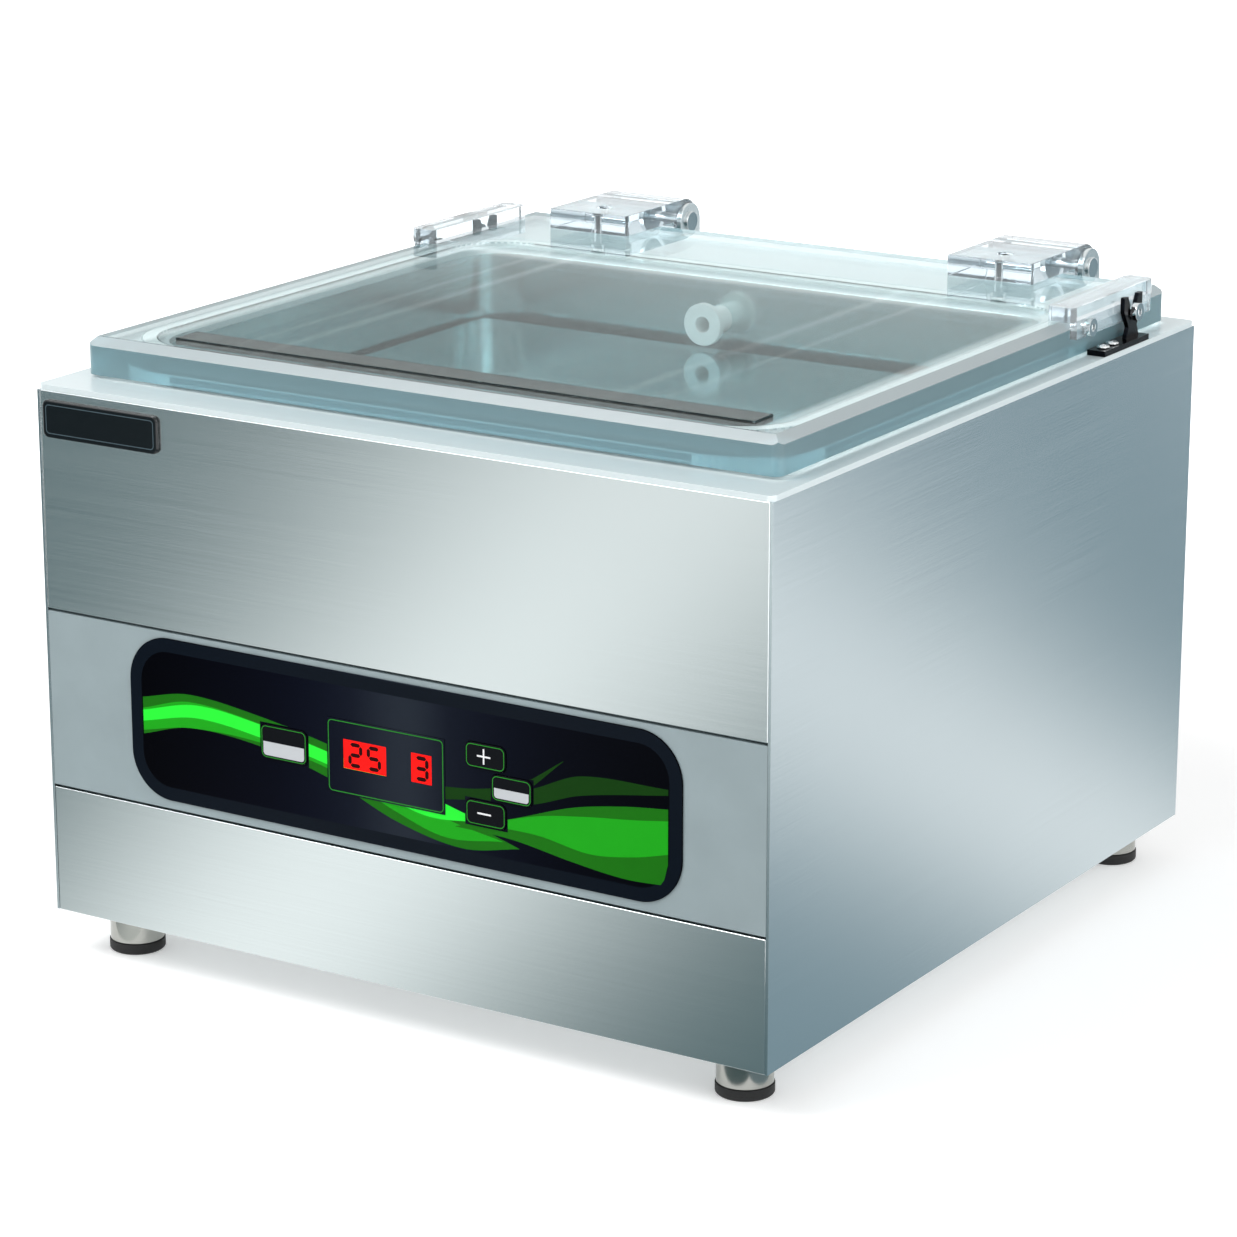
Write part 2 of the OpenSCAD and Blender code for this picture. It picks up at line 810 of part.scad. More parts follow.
module pump_housing() {
    color(machine_grey) in_case() difference() {
        span([pump_x0, pump_y - pump_h / 2, pump_low], [pump_x1, pump_y + pump_h / 2, pump_low + pump_h]);
        rod_along_x([pump_x0 + 14, pump_y, axis_up + bore_up], bore_r, pump_x1);
        rod_along_x([pump_x0 - cut, pump_y, axis_up], shaft_r + fit, 20);
        rod_along_y([20, pump_y, axis_up + 20], 6, pump_h);
    }
}

module pump_end_cover() {
    color(machine_grey) in_case() difference() {
        side_plate(pump_x1, cover_t)
            translate([pump_y, axis_up]) round_rect(pump_h - 10, pump_h - 10, 14);
        rod_along_x([pump_x1 - cut, pump_y, axis_up], shaft_r + fit, 6);
    }
}

// The slotted rotor, with its four vanes drawn back in their slots.
module vane_rotor() {
    rotor_l = pump_x1 - pump_x0 - 16;
    slot_w = 3;
    slot_deep = 14;
    color(aluminium) in_case() translate([pump_x0 + 15, pump_y, axis_up]) {
        difference() {
            rod_along_x([0, 0, 0], vane_r, rotor_l);
            rod_along_x([-cut, 0, 0], shaft_r, rotor_l + 2 * cut);
            for (a = [0 : 90 : 270]) rotate([a, 0, 0])
                translate([-cut, 4, vane_r - slot_deep]) cube([rotor_l + 2 * cut, slot_w, 20]);
        }
        for (a = [0 : 90 : 270]) rotate([a, 0, 0])
            translate([0, 4.1, vane_r - slot_deep]) cube([rotor_l, slot_w - 0.2, slot_deep - 1.5]);
    }
}

module motor_housing() {
    motor_l = pump_x0 - motor_x0;
    fin_h = 5;
    color(machine_grey) in_case() difference() {
        union() {
            rod_along_x([motor_x0, pump_y, axis_up], motor_r, motor_l);
            for (a = [20 : 20 : 340])
                translate([motor_x0 + 8, pump_y, axis_up]) rotate([a, 0, 0])
                    translate([0, -1, motor_r - 1]) cube([motor_l - 16, 2, fin_h + 1]);
        }
        rod_along_x([motor_x0 + wall, pump_y, axis_up], motor_r - wall, motor_l);
        rod_along_x([motor_x0 - cut, pump_y, axis_up], shaft_r + fit, 10);
    }
}

module motor_stator() {
    color(copper) in_case() difference() {
        rod_along_x([stator_x0, pump_y, axis_up], motor_r - wall, stator_x1 - stator_x0);
        rod_along_x([stator_x0 - cut, pump_y, axis_up], motor_r - wall - 14, stator_x1 - stator_x0 + 2);
    }
}

module motor_rotor() {
    color(aluminium) in_case() {
        rod_along_x([stator_x0, pump_y, axis_up], motor_r - wall - 15, stator_x1 - stator_x0);
        rod_along_x([motor_x0 - 24, pump_y, axis_up], shaft_r, pump_x1 + 4 - motor_x0 + 24);
    }
}

module cooling_fan() {
    blades = 8;
    color(black) in_case() translate([motor_x0 - 20, pump_y, axis_up]) rotate([0, 90, 0]) difference() {
        union() {
            cylinder(r = 14, h = 14);
            for (i = [0 : blades - 1]) rotate([0, 0, i * 360 / blades])
                translate([10, -1, 0]) cube([motor_r - 18, 2, 14]);
        }
        translate([0, 0, -cut]) cylinder(r = shaft_r, h = 20);
    }
}

module fan_cowl() {
    cowl_l = 32;
    color(machine_grey) in_case() translate([motor_x0 - cowl_l, pump_y, axis_up]) rotate([0, 90, 0])
        difference() {
            cylinder(r = motor_r, h = cowl_l);
            translate([0, 0, 2]) cylinder(r = motor_r - 2, h = cowl_l);
            for (i = [0 : 11], r = [18, 32, 46]) if (r < motor_r - 6)
                rotate([0, 0, i * 30]) translate([r, 0, -cut]) cylinder(r = 2.5, h = 5);
        }
}

module pump_mounts() {
    color(rubber) in_case() for (x = [pump_x0 + 16, pump_x1 - 16], sy = [-1, 1])
        rod_along_z([x, pump_y + sy * (pump_h / 2 - 14), sheet_t], 10, mount_h);
}

module exhaust_filter() {
    filter_r = 26;
    filter_y = pump_y + pump_h / 2 + filter_r + 8;
    color(steel) in_case() {
        rod_along_z([78, filter_y, pump_low + 10], filter_r, pump_h - 26);
        rod_along_y([78, pump_y + pump_h / 2, axis_up], 9, 14);
    }
}

// ---- Electrics, valves and hoses ----

module transformer() {
    color(machine_grey) in_case() {
        span([138, 150, sheet_t], [204, 232, sheet_t + 3]);
        span([142, 158, sheet_t + 3], [200, 224, sheet_t + 70]);
        span([148, 150, sheet_t + 16], [194, 232, sheet_t + 56]);
    }
}

module valve_block() {
    back = body_d - sheet_t;
    color(aluminium) in_case() {
        span([valve_x - valve_l / 2, back - 30, valve_z], [valve_x + valve_l / 2, back, valve_z + 30]);
        for (i = [0 : 3])
            rod_along_z([valve_x - 48 + i * 32, back - 15, valve_z + 30], 12, 42);
    }
}

// A quarter-turn of hose, from the +X side of the bend to its +Y side, in the X-Y plane.
module hose_bend(r, bend) {
    rotate_extrude(angle = 90) translate([bend, 0]) circle(r);
}

module vacuum_hoses() {
    bend = 14;
    main_r = 9;
    low_z = axis_up + 20;
    valve_y = body_d - sheet_t - 15;
    spigot_y = cham_back + tub_t + 17;
    port_z = valve_z + 15;
    lift_r = 3.5;
    lift_z = tub_floor - tub_t - 6;
    color(rubber) in_case() {
        // pump to valve block
        rod_along_y([20, pump_y + pump_h / 2, low_z], main_r, valve_y - bend - pump_y - pump_h / 2);
        translate([20, valve_y - bend, low_z + bend]) rotate([0, 90, 0])
            hose_bend(main_r, bend);
        rod_along_z([20, valve_y, low_z + bend], main_r, valve_z - low_z - bend);
        // chamber nozzle to valve block
        rod_along_y([nozzle_x, spigot_y, nozzle_z], main_r, 4);
        translate([nozzle_x, spigot_y + 4, nozzle_z - bend]) rotate([0, -90, 0])
            hose_bend(main_r, bend);
        rod_along_z([nozzle_x, spigot_y + 4 + bend, port_z + bend], main_r,
                    nozzle_z - port_z - 2 * bend);
        translate([nozzle_x, spigot_y + 4 + 2 * bend, port_z + bend])
            mirror([0, 1, 0]) rotate([0, 90, 0]) hose_bend(main_r, bend);
        rod_along_y([nozzle_x, spigot_y + 4 + 2 * bend, port_z], main_r,
                    valve_y - 15 - spigot_y - 4 - 2 * bend);
        // valve block to the seal bar's lift cylinders
        rod_along_z([valve_x - 50, valve_y, lift_z], lift_r, valve_z - lift_z);
        rod_along_y([valve_x - 50, bar_y, lift_z], lift_r, valve_y - bar_y);
        rod_along_x([-rod_x, bar_y, lift_z], lift_r, 2 * rod_x);
        for (sx = [-1, 1]) rod_along_z([sx * rod_x, bar_y, lift_z], lift_r, tub_floor - tub_t - lift_z);
    }
}

// A switched mains inlet: a flange on the rear panel with a three-pin socket and a rocker's well.
module power_entry() {
    face = body_d + 3;
    color(black) in_case() {
        difference() {
            union() {
                span([entry_x - 26, body_d, entry_z - 35], [entry_x + 26, face, entry_z + 35]);
                span([entry_x - 21.7, body_d - 32, entry_z - 30.7],
                     [entry_x + 21.7, body_d, entry_z + 30.7]);
            }
            span([entry_x - 12, face - 18, entry_z + socket_z - 8],
                 [entry_x + 12, face + cut, entry_z + socket_z + 8]);
            span([entry_x - rocker_w / 2 - slack, face - 14, entry_z + rocker_z - rocker_r - slack],
                 [entry_x + rocker_w / 2 + slack, face + cut, entry_z + rocker_z + rocker_r + slack]);
            rod_along_x([entry_x - rocker_w / 2 - 2, face - 4, entry_z + rocker_z], 1.5 + fit, rocker_w + 4);
        }
        for (pin = [[-7, -1.5], [0, 1.5], [7, -1.5]])
            span([entry_x + pin[0] - 1, face - 18, entry_z + socket_z + pin[1] - 2],
                 [entry_x + pin[0] + 1, face - 3, entry_z + socket_z + pin[1] + 2]);
    }
}

// The rocker, tilted to its off position, with a shallow V across its face.
module power_rocker() {
    color(black) in_case() translate([entry_x, body_d - 1, entry_z + rocker_z]) rotate([rocker_off, 0, 0]) {
        intersection() {
            rod_along_x([-rocker_w / 2, 0, 0], rocker_r, rocker_w);
            side_plate(-rocker_w / 2, rocker_w) polygon([
                [-5, -rocker_r], [4.2, -rocker_r], [2.6, 0], [4.2, rocker_r], [-5, rocker_r]
            ]);
        }
        rod_along_x([-rocker_w / 2 - 1.6, 0, 0], 1.5, rocker_w + 3.2);
    }
}

// A hose spigot for the flushing gas, with its flange on the rear panel.
module gas_inlet() {
    color(brass) in_case() difference() {
        union() {
            rod_along_y([gas_x, body_d - 12, gas_z], 6, 12);
            rod_along_y([gas_x, body_d, gas_z], 9, 4);
            rod_along_y([gas_x, body_d + 4, gas_z], 4, 16);
        }
        rod_along_y([gas_x, body_d - 13, gas_z], 2.2, 40);
    }
}

base_tray();
side_panel_left();
side_panel_right();
front_panel_upper();
control_fascia();
front_panel_lower();
rear_panel();
top_plate();
foot_cups();
foot_pads();
chamber_tub();
product_shelf();
suction_nozzle();
seal_bar();
heating_strip();
tape_cover();
lift_rods();
lift_cylinders();
contact_posts();
contact_sockets();
lid_plate();
lid_gasket();
counter_pad();
hinge_arm_left();
hinge_arm_right();
clear_block_screws();
side_block_left();
side_block_right();
side_block_bolts();
guide_bracket_left();
guide_bracket_right();
hinge_bracket_left();
hinge_bracket_right();
hinge_pins();
case_screws();
membrane_panel();
display_lens();
display_modules();
key_start();
key_plus();
key_minus();
key_set();
control_board();
badge_plate();
pump_housing();
pump_end_cover();
vane_rotor();
motor_housing();
motor_stator();
motor_rotor();
cooling_fan();
fan_cowl();
pump_mounts();
exhaust_filter();
transformer();
valve_block();
vacuum_hoses();
power_entry();
power_rocker();
gas_inlet();
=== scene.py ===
# %% [markdown]
# # A table-top chamber vacuum packing machine
# A folded stainless case stands on four turned metal feet. A thick clear acrylic lid covers a deep-drawn
# chamber, and a glossy membrane panel with a red display sits in a grey control strip.
# The imported parts are loaded first as a fixed frame. Most sizes and places below are read from them.

# %% Load the frame
import bpy
import bmesh
import json
import math
from mathutils import Matrix, Vector


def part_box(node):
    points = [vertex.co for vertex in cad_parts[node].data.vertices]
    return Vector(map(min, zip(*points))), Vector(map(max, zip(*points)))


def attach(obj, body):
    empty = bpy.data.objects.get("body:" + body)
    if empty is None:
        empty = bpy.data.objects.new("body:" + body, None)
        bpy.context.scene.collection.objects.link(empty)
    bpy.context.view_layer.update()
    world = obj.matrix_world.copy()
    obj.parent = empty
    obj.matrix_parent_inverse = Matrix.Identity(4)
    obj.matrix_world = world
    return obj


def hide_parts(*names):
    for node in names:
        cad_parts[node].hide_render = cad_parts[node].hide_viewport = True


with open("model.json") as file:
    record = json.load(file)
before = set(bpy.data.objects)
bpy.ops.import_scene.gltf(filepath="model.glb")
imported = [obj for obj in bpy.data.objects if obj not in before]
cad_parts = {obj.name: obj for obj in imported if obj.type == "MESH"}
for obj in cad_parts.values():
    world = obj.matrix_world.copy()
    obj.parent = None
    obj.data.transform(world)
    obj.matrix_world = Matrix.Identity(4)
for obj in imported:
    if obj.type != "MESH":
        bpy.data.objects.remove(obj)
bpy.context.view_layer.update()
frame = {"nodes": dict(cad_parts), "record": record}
nodes = frame["nodes"]
print("pieces in the frame:", len(nodes))

# %% [markdown]
# Real sizes are written in millimetres and turned to metres once. Colours are written as the hex
# values a designer would pick on a screen, and one function turns them to linear light.

# %% Units and colours
MM = 0.001


def linear(hex_colour):
    """The linear RGBA colour of an sRGB hex value."""
    parts = [int(hex_colour[i:i + 2], 16) / 255 for i in (1, 3, 5)]
    turned = [c / 12.92 if c <= 0.04045 else ((c + 0.055) / 1.055) ** 2.4 for c in parts]
    return (*turned, 1.0)


def corners(node):
    """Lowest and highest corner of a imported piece."""
    low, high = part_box(node)
    return Vector(low), Vector(high)


case_low, case_high = corners("side_panel_right")
top_high = corners("top_plate")[1]
FRONT_Y = corners("control_fascia")[0].y
TOP_Z = top_high.z
HALF_W = top_high.x
print("case front at y = %.1f mm, top at z = %.1f mm" % (FRONT_Y / MM, TOP_Z / MM))

# %% [markdown]
# A material is a small graph of nodes. This one helper adds a node, sets its values and joins its
# inputs, so that each material below reads as a list of what the surface does.

# %% Node helper
def add(tree, kind, values=None, links=None, **settings):
    """Adds a node, sets its settings and input values, and links its inputs from other sockets."""
    made = tree.nodes.new(kind)
    for name, value in settings.items():
        setattr(made, name, value)
    for key, value in (values or {}).items():
        made.inputs[key].default_value = value
    for key, source in (links or {}).items():
        tree.links.new(source, made.inputs[key])
    return made


def start_material(name):
    """An empty material with its output, ready for a surface."""
    mat = bpy.data.materials.new(name)
    mat.use_nodes = True
    mat.node_tree.nodes.clear()
    out = add(mat.node_tree, "ShaderNodeOutputMaterial")
    return mat, mat.node_tree, out


def finish_surface(tree, out, shader):
    tree.links.new(shader.outputs[0], out.inputs["Surface"])


def place(tree, scale=(1, 1, 1)):
    """Object coordinates, in metres, stretched by scale."""
    coords = add(tree, "ShaderNodeTexCoord")
    return add(tree, "ShaderNodeMapping", {"Scale": scale}, {"Vector": coords.outputs["Object"]})


print("node helpers ready, materials so far:", len(bpy.data.materials))

# %% [markdown]
# ## Fine-brushed stainless sheet
# The case is folded from 18/8 stainless with a long-grain brushed finish: a belt leaves scratches
# a few tenths of a millimetre apart, all along the sheet. Along the grain a lamp stays sharp, and
# across it the lamp smears, so the shader is anisotropic and a stretched noise varies its gloss.

# %% Brushed stainless
CASE_TINT = "#dfe5e6"
SIDE_TINT = "#d3dde1"


def brushed_stainless(name, colour, grain_axis, rough=0.28, streak=0.05, metallic=1.0):
    """Brushed sheet metal whose scratches run along grain_axis (0 is X, 1 is Y, 2 is Z)."""
    mat, tree, out = start_material(name)
    across = 1 / (0.45 * MM)
    along = 1 / (160 * MM)
    scale = [across] * 3
    scale[grain_axis] = along
    spot = place(tree, scale)
    grain = add(tree, "ShaderNodeTexNoise", {"Scale": 1.0, "Detail": 3.0, "Roughness": 0.6},
                {"Vector": spot.outputs[0]})
    cloud_spot = place(tree, (5, 5, 5))
    cloud = add(tree, "ShaderNodeTexNoise", {"Scale": 1.0, "Detail": 2.0},
                {"Vector": cloud_spot.outputs[0]})
    gloss = add(tree, "ShaderNodeMapRange", {"From Min": 0.3, "From Max": 0.7,
                "To Min": rough - streak, "To Max": rough + streak}, {"Value": grain.outputs[0]})
    shade = add(tree, "ShaderNodeMapRange", {"From Min": 0.25, "From Max": 0.75,
                "To Min": 0.97, "To Max": 1.02}, {"Value": grain.outputs[0]})
    drift = add(tree, "ShaderNodeMapRange", {"From Min": 0.3, "From Max": 0.7,
                "To Min": 0.985, "To Max": 1.01}, {"Value": cloud.outputs[0]})
    both = add(tree, "ShaderNodeMath", links={0: shade.outputs[0], 1: drift.outputs[0]},
               operation="MULTIPLY")
    tone = add(tree, "ShaderNodeMix", {0: 1.0, 6: linear(colour)}, {7: both.outputs[0]},
               data_type="RGBA", blend_type="MULTIPLY")
    bump = add(tree, "ShaderNodeBump", {"Strength": 0.04, "Distance": 0.01 * MM},
               {"Height": grain.outputs[0]})
    metal = add(tree, "ShaderNodeBsdfPrincipled",
                {"Metallic": metallic, "Anisotropic": 0.45},
                {"Base Color": tone.outputs[2], "Roughness": gloss.outputs[0],
                 "Normal": bump.outputs[0]})
    finish_surface(tree, out, metal)
    return mat


case_steel = brushed_stainless("brushed_stainless_case", CASE_TINT, 0, rough=0.19, streak=0.02)
side_steel = brushed_stainless("brushed_stainless_sides", SIDE_TINT, 1, rough=0.19, streak=0.02)
deck_steel = brushed_stainless("glass_beaded_stainless_deck", "#e0ebed", 0, rough=0.35, metallic=0.3)
tub_steel = brushed_stainless("polished_stainless_tub", "#d9ebec", 0, rough=0.2, streak=0.03)
# The shelf is the same polished stainless as the tub, coloured darker and bluer: painted shade on the
# chamber floor.
shelf_metal_painted_shade = brushed_stainless("polished_stainless_painted_shade_shelf", "#92bdc4", 0, rough=0.1, streak=0.02)
print("steel:", case_steel.name, side_steel.name, deck_steel.name, tub_steel.name, shelf_metal_painted_shade.name)

# %% [markdown]
# ## Other metals
# The bolts, pins and lift rods are chromed: a mirror with almost no colour. The feet are turned
# stainless. The guide brackets and the lid's screws are blackened steel, and the small brass parts
# are bare, turned metal. Only the gloss and a faint unevenness tell them apart from paint.

# %% Plain metals
def plain_metal(name, colour, rough, uneven=0.03, patch=12 * MM, aniso=0.0):
    """A metal with one colour and a gloss that drifts over patches of the given size."""
    mat, tree, out = start_material(name)
    spot = place(tree, [1 / patch] * 3)
    patchy = add(tree, "ShaderNodeTexNoise", {"Scale": 1.0, "Detail": 4.0}, {"Vector": spot.outputs[0]})
    gloss = add(tree, "ShaderNodeMapRange", {"From Min": 0.3, "From Max": 0.7,
                "To Min": max(rough - uneven, 0.02), "To Max": rough + uneven},
                {"Value": patchy.outputs[0]})
    shade = add(tree, "ShaderNodeMapRange", {"From Min": 0.3, "From Max": 0.7,
                "To Min": 0.93, "To Max": 1.02}, {"Value": patchy.outputs[0]})
    tone = add(tree, "ShaderNodeMix", {0: 1.0, 6: linear(colour)}, {7: shade.outputs[0]},
               data_type="RGBA", blend_type="MULTIPLY")
    metal = add(tree, "ShaderNodeBsdfPrincipled", {"Metallic": 1.0, "Anisotropic": aniso},
                {"Base Color": tone.outputs[2], "Roughness": gloss.outputs[0]})
    finish_surface(tree, out, metal)
    return mat


chrome = plain_metal("chrome_plate", "#dfe3e4", 0.07)
black_steel = plain_metal("blackened_steel", "#17181c", 0.24)
foot_steel = plain_metal("turned_stainless_foot", "#aeafaa", 0.16)
turned_brass = plain_metal("turned_brass", "#c9a35c", 0.25, aniso=0.4)
extruded_aluminium = plain_metal("extruded_aluminium", "#bfc3c6", 0.32)
print("finishes so far:", len(bpy.data.materials))

# %% [markdown]
# ## Plastics, paint and rubber
# Moulded plastic, silk paint and rubber all scatter light under a thin clear skin. They differ in
# colour, in how sharp the skin's reflection is, and in a fine texture left by the mould or the spray.

# %% Coated and moulded surfaces
def moulded(name, colour, rough, grit=0.6 * MM, texture=0.12, ior=1.5, shift=0.05, glow=0.0,
            shine=0.5):
    """Plastic, paint or rubber with a fine mould or spray texture of the given grit."""
    mat, tree, out = start_material(name)
    spot = place(tree, [1 / grit] * 3)
    fine = add(tree, "ShaderNodeTexNoise", {"Scale": 1.0, "Detail": 2.0}, {"Vector": spot.outputs[0]})
    broad_spot = place(tree, [1 / (30 * MM)] * 3)
    broad = add(tree, "ShaderNodeTexNoise", {"Scale": 1.0, "Detail": 3.0},
                {"Vector": broad_spot.outputs[0]})
    shade = add(tree, "ShaderNodeMapRange", {"From Min": 0.3, "From Max": 0.7,
                "To Min": 1 - shift, "To Max": 1 + shift}, {"Value": broad.outputs[0]})
    tone = add(tree, "ShaderNodeMix", {0: 1.0, 6: linear(colour)}, {7: shade.outputs[0]},
               data_type="RGBA", blend_type="MULTIPLY")
    gloss = add(tree, "ShaderNodeMapRange", {"From Min": 0.3, "From Max": 0.7,
                "To Min": rough * 0.85, "To Max": min(rough * 1.15, 1.0)}, {"Value": fine.outputs[0]})
    bump = add(tree, "ShaderNodeBump", {"Strength": texture, "Distance": 0.03 * MM},
               {"Height": fine.outputs[0]})
    skin = add(tree, "ShaderNodeBsdfPrincipled",
               {"IOR": ior, "Emission Strength": glow, "Specular IOR Level": shine},
               {"Base Color": tone.outputs[2], "Roughness": gloss.outputs[0],
                "Normal": bump.outputs[0]})
    if glow:
        skin.inputs["Emission Color"].default_value = linear(colour)
    finish_surface(tree, out, skin)
    return mat


strip_paint = moulded("silk_grey_paint", "#92a1a5", 0.38)
nylon = moulded("turned_nylon", "#eef1f0", 0.35, grit=0.3 * MM)
foot_rubber = moulded("foot_rubber", "#121314", 0.6, texture=0.3)
hose_rubber = moulded("hose_rubber", "#1a1b1c", 0.5)
white_silicone = moulded("white_silicone", "#e4ecec", 0.4)
brown_silicone = moulded("brown_silicone", "#4a4440", 0.55)
black_abs = moulded("black_abs", "#101114", 0.3)
cast_paint = moulded("grey_casting_paint", "#6d777d", 0.5, texture=0.4)
solder_mask = moulded("solder_mask", "#0e4a26", 0.3)
copper_enamel = moulded("enamelled_copper", "#a5623a", 0.3)
print("finishes so far:", len(bpy.data.materials))

# %% [markdown]
# ## Clear acrylic
# The lid and its blocks are cast acrylic: IOR 1.49, perfectly smooth where it is as cast, and faintly
# blue-green through a long path, which shows at the edges. Light that falls through it is let
# through for shadows, since a ray tracer would else leave the chamber dark.

# %% Acrylic
def clear_acrylic(name, tint, depth_tint, density, rough=0.0, cloud=0.0):
    """Cast acrylic, tinted through its depth; cloud is the share of light that a sawn face scatters."""
    mat, tree, out = start_material(name)
    body = add(tree, "ShaderNodeBsdfPrincipled",
               {"Base Color": linear(tint), "Roughness": rough, "IOR": 1.49,
                "Transmission Weight": 1.0 - cloud})
    through = add(tree, "ShaderNodeBsdfTransparent", {"Color": linear(tint)})
    path = add(tree, "ShaderNodeLightPath")
    mixed = add(tree, "ShaderNodeMixShader", links={0: path.outputs["Is Shadow Ray"],
                1: body.outputs[0], 2: through.outputs[0]})
    finish_surface(tree, out, mixed)
    depth = add(tree, "ShaderNodeVolumeAbsorption", {"Color": linear(depth_tint), "Density": density})
    tree.links.new(depth.outputs[0], out.inputs["Volume"])
    return mat


lid_acrylic = clear_acrylic("cast_acrylic_lid", "#f8fdfd", "#8fcbd2", 4.0)
block_acrylic = clear_acrylic("cast_acrylic_blocks", "#f9fdff", "#b9d4e0", 8.0, cloud=0.10)
sawn_acrylic = clear_acrylic("satin_acrylic_edge", "#b0d9e3", "#7fc0c8", 12.0, rough=0.3, cloud=0.35)
chamfer_acrylic = clear_acrylic("satin_acrylic_chamfer", "#e2f1f5", "#7fc0c8", 12.0, rough=0.25, cloud=0.5)
print("acrylic:", lid_acrylic.name, block_acrylic.name, sawn_acrylic.name, chamfer_acrylic.name)

# %% [markdown]
# ## Woven tape on the seal bar
# The hot bar is covered with glass cloth coated in brown-grey PTFE. Its threads are about half a
# millimetre apart, drawn here at 1 mm so that they show, with a soft sheen.

# %% Glass-cloth tape
def woven_tape(name, colour, thread):
    """Coated cloth with threads crossing along X and Y."""
    mat, tree, out = start_material(name)
    spot = place(tree)
    warp = add(tree, "ShaderNodeTexWave", {"Scale": 0.314 / thread, "Distortion": 0.3},
               {"Vector": spot.outputs[0]}, bands_direction="X")
    weft = add(tree, "ShaderNodeTexWave", {"Scale": 0.314 / thread, "Distortion": 0.3},
               {"Vector": spot.outputs[0]}, bands_direction="Y")
    cloth = add(tree, "ShaderNodeMath", links={0: warp.outputs["Fac"], 1: weft.outputs["Fac"]},
                operation="MULTIPLY")
    shade = add(tree, "ShaderNodeMapRange", {"To Min": 0.85, "To Max": 1.1}, {"Value": cloth.outputs[0]})
    tone = add(tree, "ShaderNodeMix", {0: 1.0, 6: linear(colour)}, {7: shade.outputs[0]},
               data_type="RGBA", blend_type="MULTIPLY")
    bump = add(tree, "ShaderNodeBump", {"Strength": 0.35, "Distance": 0.1 * MM},
               {"Height": cloth.outputs[0]})
    skin = add(tree, "ShaderNodeBsdfPrincipled", {"Roughness": 0.45, "IOR": 1.35},
               {"Base Color": tone.outputs[2], "Normal": bump.outputs[0]})
    finish_surface(tree, out, skin)
    return mat


bar_tape = woven_tape("ptfe_glass_cloth", "#857b73", 1.0 * MM)
print("tape:", bar_tape.name)

# %% [markdown]
# ## Sheet and block edges
# Sheet metal never has a knife edge: a bend or a deburred cut rounds it by a few tenths of a
# millimetre, and that line catches the light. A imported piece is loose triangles, so a copy is
# merged, its flat faces are joined again, and then a small bevel is cut along each real edge.

# %% Edge-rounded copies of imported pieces
def rounded_copy(node, material, edge=0.4, segments=2):
    """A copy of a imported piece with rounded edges, which stands for it. edge is in millimetres."""
    source = nodes[node]
    mesh = source.data.copy()
    bm = bmesh.new()
    bm.from_mesh(mesh)
    bmesh.ops.remove_doubles(bm, verts=bm.verts, dist=0.002 * MM)
    bmesh.ops.dissolve_limit(bm, angle_limit=math.radians(0.6), verts=bm.verts, edges=bm.edges,
                             delimit={"NORMAL"})
    bm.to_mesh(mesh)
    bm.free()
    mesh.materials.clear()
    mesh.materials.append(material)
    for face in mesh.polygons:
        face.material_index = 0
        face.use_smooth = True
    piece = bpy.data.objects.new(node + "_finished", mesh)
    bpy.context.scene.collection.objects.link(piece)
    if edge:
        bevel = piece.modifiers.new("edges", "BEVEL")
        bevel.width = edge * MM
        bevel.segments = segments
        bevel.limit_method = "ANGLE"
        bevel.angle_limit = math.radians(35)
        bevel.use_clamp_overlap = True
    flat = piece.modifiers.new("flat_faces_stay_flat", "WEIGHTED_NORMAL")
    flat.mode = "FACE_AREA"
    flat.weight = 100
    settle(piece)
    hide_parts(node)
    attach(piece, body_with(node))
    return piece


def settle(piece):
    """Applies a piece's modifiers, so that it becomes a plain mesh."""
    view = bpy.context.evaluated_depsgraph_get()
    final = bpy.data.meshes.new_from_object(piece.evaluated_get(view))
    old = piece.data
    piece.modifiers.clear()
    piece.data = final
    bpy.data.meshes.remove(old)


def body_with(node):
    """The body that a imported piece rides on."""
    for body, members in frame["record"]["behaviour"]["bodies"].items():
        if node in members:
            return body
    raise ValueError(node)


def adopt(obj, like, name):
    """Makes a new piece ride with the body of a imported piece."""
    obj.name = name
    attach(obj, body_with(like))
    return obj


def coat(node, material):
    """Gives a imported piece, which keeps its shape, the finish of the real material."""
    nodes[node].data.materials.clear()
    nodes[node].data.materials.append(material)


def reach_mm(piece):
    """Lowest and highest corner of a made piece, in millimetres."""
    spots = [vert.co for vert in piece.data.vertices]
    return [round(pick(spot[i] for spot in spots) / MM, 1) for pick in (min, max) for i in range(3)]


# %% [markdown]
# ## The case
# Three folded front panels, two sides and a rear panel meet with narrow seams. The front and rear
# were brushed along X, the sides along Y, so each takes the steel whose grain runs that way. The
# control strip is painted.

# %% Case panels
for node in ("front_panel_upper", "front_panel_lower", "rear_panel", "base_tray"):
    rounded_copy(node, case_steel, edge=0.5)
for node in ("side_panel_left", "side_panel_right"):
    rounded_copy(node, side_steel, edge=1.4, segments=4)
rounded_copy("control_fascia", strip_paint, edge=0.5)
rounded_copy("top_plate", deck_steel, edge=0.6, segments=3)
print("panels finished: 8, case height above the feet %.1f mm" % ((case_high.z - case_low.z) / MM))
